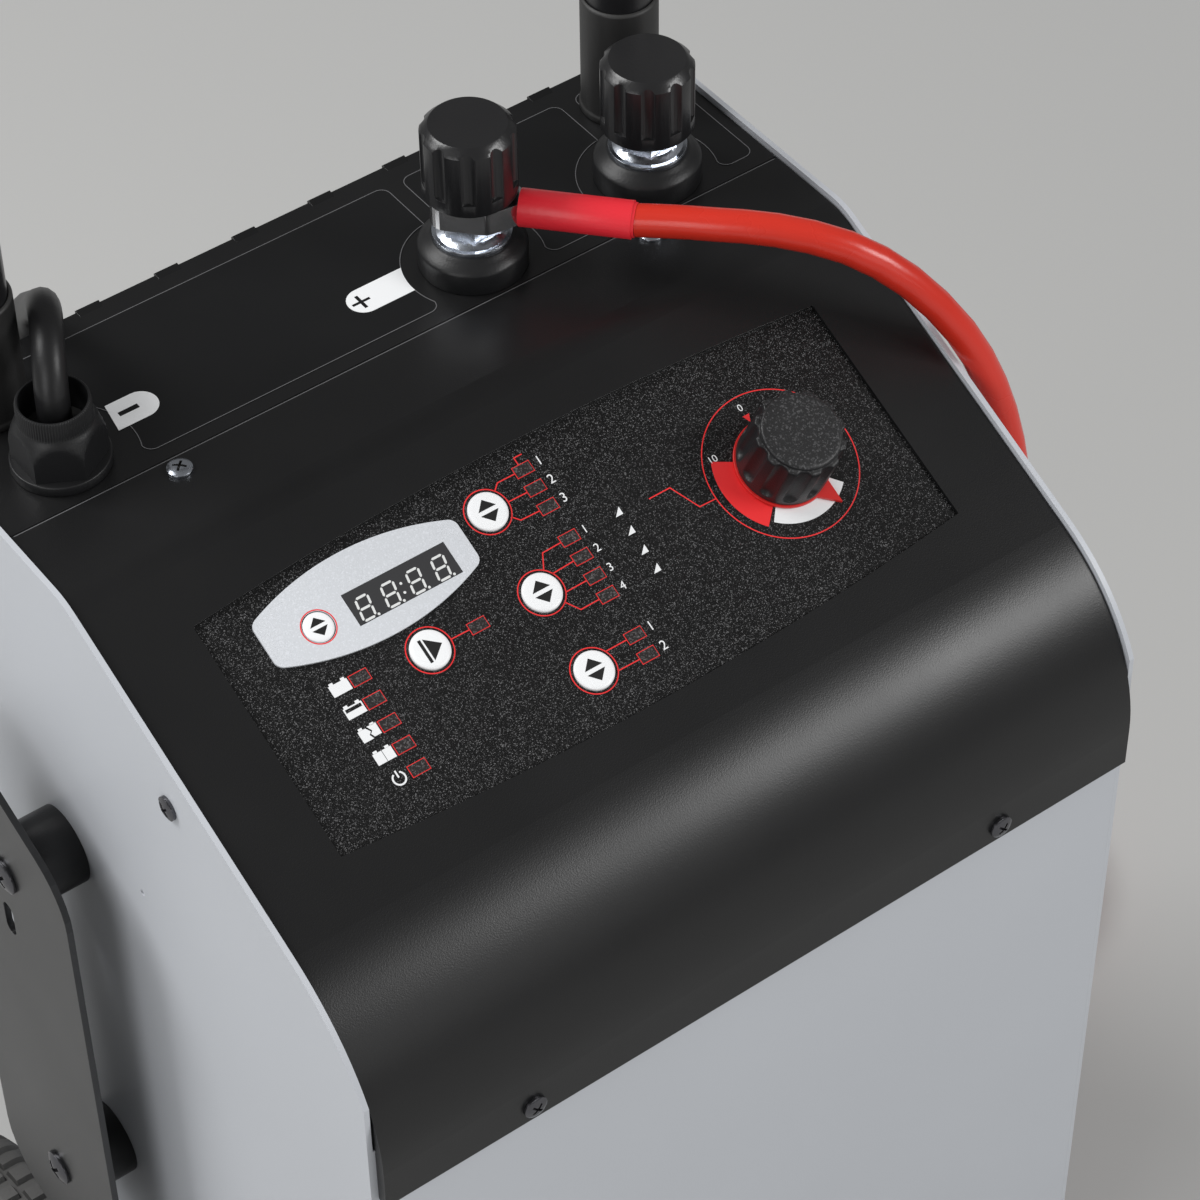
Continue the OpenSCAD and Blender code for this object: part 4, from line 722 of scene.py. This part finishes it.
for k, ((x, y), choice) in enumerate(zip(WINDOWS, CHOICES)):
    numeral(f"choice_number_{k + 1}", str(choice), x + 5.4, y + 0.2, 3.0 if 3 <= k < 7 else 3.4)
numeral("dial_number_low", "0", dial_x - 1.8, 23.6, 2.6)
numeral("dial_number_high", "10", dial_x - 22.4, 12.2, 2.6)
print("numbers:", len(CHOICES) + 2)

# %% [markdown]
# ## Meter badge and display
# The silver badge has bowed edges and rounded corners, and leaves room for the display window and the
# small button. A flat curve with several outlines fills itself and keeps the inner ones open, which
# saves any cutting of meshes.

# %% Plates cut from outlines
def cut_plate(name, outlines, low, high, place, slot, finish_name=None, body="cabinet"):
    """A flat plate between two heights, with holes where one outline lies inside another."""
    shape = bpy.data.curves.new(name, "CURVE")
    shape.dimensions = "2D"
    shape.fill_mode = "BOTH"
    shape.extrude = (high - low) / 2
    for outline in outlines:
        spline = shape.splines.new("POLY")
        spline.points.add(len(outline) - 1)
        for point, (px, py) in zip(spline.points, outline):
            point.co = (px * MM, py * MM, 0, 1)
        spline.use_cyclic_u = True
    mesh = meshed(shape, place @ Matrix.Translation((0, 0, (low + high) / 2)))
    return dressed(name, mesh, slot, finish_name, body)


def bowed(cx, cy, w, h, bow, r):
    """A rectangle with outward bowed long edges and rounded corners."""
    big = (w * w / 4 + bow * bow) / (2 * bow)
    centre = h / 2 + bow - big
    a = w / 2 - r
    corner_y = centre + math.sqrt((big - r) ** 2 - a * a)
    turn = math.degrees(math.atan2(corner_y - centre, a))
    top = (arc(a, corner_y, r, 0, turn, 10) + arc(0, centre, big, turn, 180 - turn, 40)
           + arc(-a, corner_y, r, 180 - turn, 180, 10))
    return shifted(top + [(-px, -py) for px, py in top], cx, cy)


# %% Badge
LENS_X, LENS_Y, LENS_W, LENS_H = -57.6, 24.2, 40.4, 12.2
BADGE_T = 0.8
badge = cut_plate("meter_badge_plate", [bowed(-69.5, 27, 79.6, 16.6, 8.2, 3.6),
                                        block(LENS_X, LENS_Y, LENS_W, LENS_H),
                                        arc(METER_X, METER_Y, 5.65, 360, 0, 48)[:-1]],
                  FILM, FILM + BADGE_T * MM, panel, "badge_silver")
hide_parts("meter_badge")
soften(badge, 0.12)
print("badge:", [round(v / MM, 1) for v in badge.dimensions], "mm")

# %% Display digits
LENS_TOP = FILM + (BADGE_T - 0.1) * MM
DIGIT_W, DIGIT_H, DIGIT_PITCH, SLANT = 4.6, 7.9, 9.9, 0.17
BAR, BAR_GAP, DOT_R = 0.85, 0.3, 0.5
digits = Print(panel, LENS_TOP - 0.03 * MM, LENS_TOP + SUNK)


def bar(ox, oy, x1, y1, x2, y2):
    """One segment of a seven-segment digit, with pointed ends."""
    along = Vector((x2 - x1, y2 - y1)).normalized()
    side = Vector((-along.y, along.x)) * BAR / 2
    p, q = Vector((x1, y1)) + along * BAR_GAP, Vector((x2, y2)) - along * BAR_GAP
    tip = along * BAR / 2
    outline = [p, p + tip - side, q - tip - side, q, q - tip + side, p + tip + side]
    digits.patch([(ox + v.x + SLANT * v.y, oy + v.y) for v in outline])


def dot(x, y):
    digits.patch(arc(x, y, DOT_R, 0, 360, 12)[:-1])


first_x, foot_y = LENS_X - LENS_W / 2 + 2, LENS_Y - 5.3
w, h, m = DIGIT_W, DIGIT_H, DIGIT_H / 2
SEGMENTS = [(0, h, w, h), (0, m, w, m), (0, 0, w, 0), (0, m, 0, h), (w, m, w, h), (0, 0, 0, m), (w, 0, w, m)]
for k in range(4):
    digit_x = first_x + k * DIGIT_PITCH
    for ends in SEGMENTS:
        bar(digit_x, foot_y, *ends)
    dot(digit_x + w + 1.1, foot_y)
for y in (2.3, 5.6):
    dot(first_x + DIGIT_PITCH + w + 2.4 + SLANT * y, foot_y + y)
digits.make("display_digits", "display_dark", "segment_grey")
print("display segments:", 4 * len(SEGMENTS))

# %% [markdown]
# ## Turned pieces
# Knobs, caps, glands and tyres are all moulded round an axis. One helper spins a profile of radius and
# height pairs, and a rule may change the radius with the angle, which makes flutes, hexagons, knurling
# and tread blocks.

# %% The turning helper
def turned(name, profile, place, slot, body="cabinet", segments=96, rule=None, closed=False, sharp=None):
    """Spins (radius, height) pairs in millimetres about the place's z axis.

    A closed profile makes a ring, and any other gets flat ends. Edges past the sharp angle stay crisp.
    """
    points, faces = [], []
    angles = [2 * math.pi * k / segments for k in range(segments)]
    for r, z in profile:
        for angle in angles:
            reach = MM * (rule(angle, r, z) if rule else r)
            points.append(place @ Vector((reach * math.cos(angle), reach * math.sin(angle), z * MM)))
    rows = len(profile)
    for i in range(rows if closed else rows - 1):
        j = (i + 1) % rows
        for k in range(segments):
            m = (k + 1) % segments
            faces.append([i * segments + k, i * segments + m, j * segments + m, j * segments + k])
    if not closed:
        for row, flip in ((0, True), (rows - 1, False)):
            middle = len(points)
            points.append(place @ Vector((0, 0, profile[row][1] * MM)))
            for k in range(segments):
                a, b = row * segments + k, row * segments + (k + 1) % segments
                faces.append([b, a, middle] if flip else [a, b, middle])
    piece = solid(name, points, faces, slot, body=body)
    if sharp:
        piece.data.set_sharp_from_angle(angle=math.radians(sharp))
    return piece


# %% [markdown]
# ## Push buttons
# Each cap is a white moulding with a softly crowned top and a wide flange under the panel plate that
# keeps it in. The symbol is printed on the flat middle of the cap and moves with it.

# %% Caps and their symbols
STEM_R, STEM_Z, FLANGE_Z, FLANGE_T, FLANGE_OUT, CAP_TOP = 2.5, -9.1, -5.0, 1.2, 1.4, -0.3
CROWN = [(0, -0.75), (-0.08, -0.5), (-0.3, -0.28), (-0.7, -0.12), (-1.3, -0.03), (-1.8, 0)]
for name, (x, y, r) in BUTTONS.items():
    on_key = at_mm(panel, x, y)
    foot = [(STEM_R, STEM_Z), (STEM_R, FLANGE_Z), (r + FLANGE_OUT, FLANGE_Z),
            (r + FLANGE_OUT, FLANGE_Z + FLANGE_T), (r, FLANGE_Z + FLANGE_T)]
    cap = turned(name + "_cap", foot + shifted(CROWN, r, CAP_TOP), on_key, "button_white", name, sharp=40)
    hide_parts("key_" + name.removesuffix("_button"))
    symbol = Print(on_key, CAP_TOP * MM - SUNK, CAP_TOP * MM + 0.03 * MM)
    if name == "start_button":
        symbol.strip([(-2.1, -4.3), (-2.1, 4.3)], 1.15)
        symbol.patch([(-0.85, -4.1), (4.4, 0), (-0.85, 4.1)])
    else:
        base, rise, gap = (7.0, 3.6, 0.75) if r == LARGE_R else (5.9, 2.8, 0.65)
        symbol.patch([(-base / 2, gap), (base / 2, gap), (0, gap + rise)])
        symbol.patch([(-base / 2, -gap), (0, -gap - rise), (base / 2, -gap)])
    symbol.make(name + "_symbol", "button_white", "ink_black", name)
print("caps:", list(BUTTONS))

# %% [markdown]
# Round every large button the film is embossed into a low bead, which shows as a sparkling rim just
# inside the red ring. It is a thin ring with a rounded top, in the film's own finish.

# %% Embossed beads
BEAD = [(7.36, -0.02), (7.36, 0.14), (7.42, 0.24), (7.52, 0.24), (7.68, 0.12), (7.74, -0.02)]
for name, (x, y, r) in BUTTONS.items():
    if r == LARGE_R:
        turned(name + "_bead", shifted(BEAD, 0, FILM / MM), at_mm(panel, x, y), "panel_film", closed=True)

# %% [markdown]
# ## Dial knob
# The knob is a fluted moulding: twelve finger grooves that end in a rounded foot, a scalloped
# shoulder, and a grained disc on top with a rounded rim. Each groove is where a round cutter would
# have passed, so the radius rule subtracts the cutter's depth and softens where it meets the lobes.

# %% Knob
KNOB_R, KNOB_TOP, SHOULDER, DISC_R = 16.4, 24.5, 23.0, 14.35
FLUTES, CUTTER_R, CUTTER_OUT, GROOVE_FOOT = 12, 2.9, 1.3, 5.0
LOBE_SOFT, LOBE_TRIM = 0.28, 0.03
FOOT_ROUND, TAPER = 0.25, 0.3


def groove_depth(angle, z):
    """How deep the cutter went at that angle and height, in millimetres, softened at its edge."""
    pitch = 2 * math.pi / FLUTES
    off = (angle + pitch / 2) % pitch - pitch / 2
    sideways = KNOB_R * math.sin(off)
    low = min(z - GROOVE_FOOT, 0)
    left = CUTTER_R ** 2 - sideways ** 2 - low ** 2
    depth = math.sqrt(left) - CUTTER_OUT if left > 0 else -CUTTER_OUT
    return (depth + math.sqrt(depth * depth + LOBE_SOFT * LOBE_SOFT)) / 2 - LOBE_TRIM


def knob_rule(angle, r, z):
    return r if r < DISC_R else r - max(groove_depth(angle, z), 0)


heights = [0.0, 0.3] + [0.8 + 0.35 * k for k in range(16)] + [6.8 + 1.3 * k for k in range(12)]
grip = [(KNOB_R - FOOT_ROUND * (z < 0.3) - TAPER * z / SHOULDER, z) for z in heights]
shoulder = shifted([(16.08, -0.85), (15.98, -0.45), (15.75, -0.15), (15.4, 0), (14.9, 0.02), (14.3, 0.1),
                    (14.25, 0.6)], 0, SHOULDER)
disc = shifted([(14.1, -0.55), (13.75, -0.2), (13.2, -0.05), (12.4, 0), (9, 0), (5, 0)], 0, KNOB_TOP)
knob = turned("dial_knob_moulding", [(3.3, 0)] + grip + shoulder + disc, at_mm(panel, dial_x, 0),
              "knob_black", "dial", segments=360, rule=knob_rule, sharp=50)
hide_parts("dial_knob")
# The faces that look out of the top take a copy of the finish with pale flakes painted in: painted glints that
# make the top read lit.
knob.data.materials.append(FINISHES["knob_top_grain_and_glints"])
for face in knob.data.polygons:
    face.material_index = int(face.normal.dot(face_out) > 0.6)
print("knob faces:", len(knob.data.polygons))

# %% [markdown]
# ## Lead gland
# A cable gland clamps the lead where it leaves the deck. Its cap is a hexagon with turned-off
# corners below and a knurled collar above. The hexagon comes from the rule that a flat side is
# nearer to the axis than a corner, by the cosine of the angle between them.

# %% Gland cap
GLAND_AT = Vector((-0.125, 0.067055, 0.540))
HEX_FLAT, HEX_TOP, HEX_INNER = 14.0, 18.5, 12.7
KNURLS, KNURL_DEPTH, KNURL_FOOT, KNURL_INNER = 84, 0.28, 20.2, 12


def gland_rule(angle, r, z):
    if z < HEX_TOP and r > HEX_INNER:
        side = (angle + math.pi / 6) % (math.pi / 3) - math.pi / 6
        return min(HEX_FLAT / math.cos(side), r)
    if z > KNURL_FOOT and r > KNURL_INNER:
        return r - KNURL_DEPTH * (0.5 + 0.5 * math.cos(KNURLS * angle)) * min(z - KNURL_FOOT, 1)
    return r


gland_profile = [
    (10.2, 4.05), (16.1, 4.05), (16.6, 4.4), (16.5, 8), (16.2, 12), (15.7, 14.6), (15.1, 16.2), (14.4, 17.4),
    (14, 18.4), (13.3, 19.4), (12.85, 20), (12.72, 20.4), (12.7, 21.3), (12.6, 27.2), (12.35, 27.7),
    (12, 27.95), (11.5, 27.9), (11.2, 27.4), (11.15, 12.1), (10.2, 12)]
gland_cap = turned("gland_cap_moulding", gland_profile, Matrix.Translation(GLAND_AT), "black_nylon",
                   segments=672, rule=gland_rule, closed=True, sharp=38)
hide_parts("gland_cap")
print("gland cap faces:", len(gland_cap.data.polygons))

# %% [markdown]
# ## Deck labels
# Black vinyl labels cover the deck between the gland and the posts. Their corners are rounded, and
# round cut-outs leave room for the parts that stand on the deck. A thin pale strip along each edge
# is a painted highlight. Only the plain plus and minus signs of the two poles are printed, in white.

# %% Labels
deck = Matrix.Translation((0, 0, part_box("control_cover")[1][2]))
ROW_Y = GLAND_AT.y / MM
LABEL_FRONT, LABEL_BACK, LABEL_T, CORNER, RIM_W = 53.1, 117.0, 0.22, 4.0, 0.3
GLAND_CUT, FIRST_CUT, SECOND_CUT = (-125, 26.5), (40, 25.2), (115, 25.2)
BEND = [(CORNER - x, CORNER - y) for x, y in arc(0, 0, CORNER, 0, 90, 8)]


def cut_out(centre, low, high, left_side, steps=24):
    """Points of a round cut-out's edge, from one height across the deck to another."""
    cx, radius = centre
    start, end = (math.degrees(math.asin((h - ROW_Y) / radius)) for h in (low, high))
    return [(cx + (-px if left_side else px), ROW_Y + py) for px, py in arc(0, 0, radius, start, end, steps)]


def inset(outline, depth):
    """The same closed outline, a little inside itself."""
    following = outline[1:] + outline[:1]
    turns_left = sum(a[0] * b[1] - b[0] * a[1] for a, b in zip(outline, following)) > 0
    side = depth if turns_left else -depth
    line = []
    for i, (px, py) in enumerate(outline):
        before, after = outline[i - 1], following[i]
        along = Vector((after[0] - before[0], after[1] - before[1])).normalized()
        line.append((px - along.y * side, py + along.x * side))
    return line


def label(name, left, right):
    """A label between two cut-outs, given as (centre, radius), or a plain edge, given as a number."""
    low, high = LABEL_FRONT + CORNER, LABEL_BACK - CORNER
    outline = []
    for spot, is_left in ((right, False), (left, True)):
        if isinstance(spot, tuple):
            reach = min(spot[1] - 0.2, high - ROW_Y)
            edge = cut_out(spot, low, ROW_Y + reach, not is_left)
            if reach < high - ROW_Y:
                edge += [(edge[-1][0], high)]
        else:
            edge = [(spot, low), (spot, high)]
        inward = 1 if is_left else -1
        front = [(edge[0][0] + inward * b, LABEL_FRONT + a) for a, b in BEND[:-1]]
        back = [(edge[-1][0] + inward * a, LABEL_BACK - b) for a, b in BEND[1:]]
        side = front + edge + back
        outline += side[::-1] if is_left else side
    # The thin pale strip along the label's edge is a painted highlight.
    cut_plate(name + "_rim", [outline, inset(outline, RIM_W)], LABEL_T * MM, LABEL_T * MM + SUNK, deck,
              "black_powder_coat", "painted_edge_highlight")
    cut_plate(name, [outline], SUNK, LABEL_T * MM, deck, "black_powder_coat", "label_vinyl")


label("deck_label_left", GLAND_CUT, FIRST_CUT)
label("deck_label_middle", FIRST_CUT, SECOND_CUT)
label("deck_label_right", SECOND_CUT, 152.0)

# %% Seam and poles
# A painted highlight, a thin pale line, lies along the edge where the sloping cover meets the deck.
SEAM_Y, SEAM_L, SEAM_W = 46.35, 311, 0.3
cut_plate("seam_painted_highlight", [block(0, SEAM_Y, SEAM_L, SEAM_W)], 0.01 * MM, 0.03 * MM, deck, "black_powder_coat",
          "painted_edge_highlight")
plus = cut_out((FIRST_CUT[0], FIRST_CUT[1] + 0.1), 65.8, 78.2, True) + arc(-2.1, 72.0, 6.2, 90, 270, 24)
cross = [(-4.0, 68.4), (-2.7, 68.4), (-2.7, 71.3), (0.2, 71.3), (0.2, 72.5), (-2.7, 72.5), (-2.7, 75.4),
         (-4.0, 75.4), (-4.0, 72.5), (-6.9, 72.5), (-6.9, 71.3), (-4.0, 71.3)]
minus = [(-102.6, 67.8)] + arc(-90.4, 74.2, 6.4, -90, 90, 24) + [(-100.3, 80.6)]
for name, outlines in (("plus_sign", [plus, cross]), ("minus_sign", [minus, block(-94.8, 74.3, 7.6, 2.1)])):
    cut_plate(name, outlines, LABEL_T * MM - SUNK, LABEL_T * MM + INK, deck, "panel_film", "ink_white")

# %% [markdown]
# ## Tyres
# Small solid tyres have a tread so that the machine rolls over cables and grit: two rows of blocks,
# half a block out of step, on either side of a groove. The turning helper makes them too, with a rule
# that lowers the radius wherever a groove passes.

# %% Tyres with tread
TREADS, TREAD_R, TREAD_DEPTH, GAP_SHARE = 42, 78.5, 2.0, 0.3
TYRE_W, GROOVE_HALF = 34, 1


def tread_rule(angle, r, z):
    if r < TREAD_R:
        return r
    off_middle = z - TYRE_W / 2
    step = angle * TREADS / (2 * math.pi) + (0.5 if off_middle > 0 else 0)
    return r - (TREAD_DEPTH if abs(off_middle) < GROOVE_HALF or step % 1 < GAP_SHARE else 0)


wall = [(58.05, 0), (63, 0), (63.8, 0.6), (65.4, 0.6), (66.2, 0.3), (70, 1.2), (74, 2.6), (76.4, 4),
        (78.6, 6.2), (79.5, 8), (80, 10), (80, 15.6), (80, 16.3)]
tyre_profile = wall + [(r, TYRE_W - z) for r, z in reversed(wall)]
for name, body, side in (("tyre_left", "wheel_l", -1), ("tyre_right", "wheel_r", 1)):
    low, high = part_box(name)
    inner = high[0] if side < 0 else low[0]
    middle = Vector((inner, (low[1] + high[1]) / 2, (low[2] + high[2]) / 2))
    tyre = turned(name + "_moulding", tyre_profile, place_on(middle, AWAY, side * UP, side * ACROSS),
                  "tyre_rubber", body, segments=420, rule=tread_rule, closed=True, sharp=32)
    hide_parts(name)
    print(name, "faces:", len(tyre.data.polygons))

# %% [markdown]
# ## Clamps
# A battery clamp grips with copper: its biting faces and toothed tips carry the current. A rivet
# holds the levers together, ribs keep a hand from slipping, and a relief guards the lead where it
# enters the handle. Whatever belongs to the moving lever rides on that lever's own body.

# %% Ribs on the handles
HANDLE_SIDE = [(-34, 24.556), (-66, 37), (-92, 40.467)]
RIB_START, RIB_PITCH, RIB_RISE = 2, 4.4, 0.9
RIB_SECTION = [(-1.2, -0.3), (-0.6, RIB_RISE), (0.6, RIB_RISE), (1.2, -0.3)]
RIB_ENDS = [(3, False), (4, True), (CLAMP_H - 4, True), (CLAMP_H - 3, False)]


def handle_ribs(name, place, side, slot, body):
    """Low ridges across the outer side of one handle, which sink into it at both ends."""
    points, faces = [], []
    for (x0, y0), (x1, y1) in zip(HANDLE_SIDE, HANDLE_SIDE[1:]):
        along = Vector((x1 - x0, y1 - y0))
        run = along.length
        along.normalize()
        out = Vector((along.y, -along.x))
        for k in range(int((run - RIB_START) / RIB_PITCH) + 1):
            foot = Vector((x0, y0)) + along * (RIB_START + k * RIB_PITCH)
            first = len(points)
            for z, full in RIB_ENDS:
                for u, v in RIB_SECTION:
                    p = foot + along * u + out * (v if full or v < 0 else -0.2)
                    points.append(place @ Vector((p.x * MM, p.y * side * MM, z * MM)))
            for row in range(3):
                for j in range(3):
                    a = first + row * 4 + j
                    faces.append((a, a + 1, a + 5, a + 4) if side > 0 else (a, a + 4, a + 5, a + 1))
    solid(name, points, faces, slot, None, body, smooth=False)


# %% Copper faces and tips, rivets and reliefs
CLAMP_TURNED = {"red": 46.4713, "black": -38.5766}
BITE_FROM, BITE_TO, BITE_HALF = 0.0118, 0.06, 0.0082
TEETH = [(62.6 + 1.5 * (k % 2), 4 + k) for k in range(1, 18)]
TIP = [(59.4, 3), (62.6, 3)] + TEETH + [(62.6, 23), (59.4, 23)]
TIP_NEAR, TIP_FAR = 0.35 * MM, 2.1 * MM
RIVET = [(6.6, 0.05), (6.8, 0.3), (6.6, 0.9), (5.0, 1.0), (4.9, 1.8), (4.3, 2.5), (3.0, 3.0), (1.4, 3.2)]
RELIEF = [(7.9 + 0.35 * math.cos(0.2 * math.pi * k), 0.3 * k) for k in range(38)] + [(7.53, 11.1), (7.53, 0)]
RELIEF_AT = Vector((-107.6, -33, 13)) * MM
for colour, turn in CLAMP_TURNED.items():
    body, slot = colour + "_jaw", "clamp_" + colour
    hinge = Vector(JOINT[colour + "_jaw_open"]["pos_m"])
    place = Matrix.Translation((hinge.x, hinge.y, 0)) @ Matrix.Rotation(math.radians(turn), 4, "Z")
    for node, side in ((colour + "_jaw_fixed", -1), (colour + "_jaw_moving", 1)):
        lever = NODES[node]
        lever.data.materials.append(FINISHES["jaw_copper"])
        to_clamp = place.inverted() @ lever.matrix_world
        turn_only = to_clamp.to_3x3()
        for face in lever.data.polygons:
            at, way = to_clamp @ face.center, turn_only @ face.normal
            bites = BITE_FROM < at.x < BITE_TO and abs(at.y) < BITE_HALF and way.y * side < -0.2
            face.material_index = int(bites)
        rides = body if side > 0 else "cabinet"
        handle_ribs(node + "_ribs", place, side, slot, rides)
        low, high = sorted((-side * TIP_NEAR, -side * TIP_FAR))
        cut_plate(node + "_tip", [TIP], low, high, place @ place_on(Vector(), ACROSS, UP, -AWAY),
                  "copper_winding", "jaw_copper", rides)
    turned(colour + "_clamp_rivet", RIVET, at_mm(place, 0, 0, CLAMP_H), "zinc_plate", segments=64)
    turned(colour + "_clamp_relief", RELIEF, place @ place_on(RELIEF_AT, AWAY, UP, ACROSS), slot, segments=64,
           closed=True)
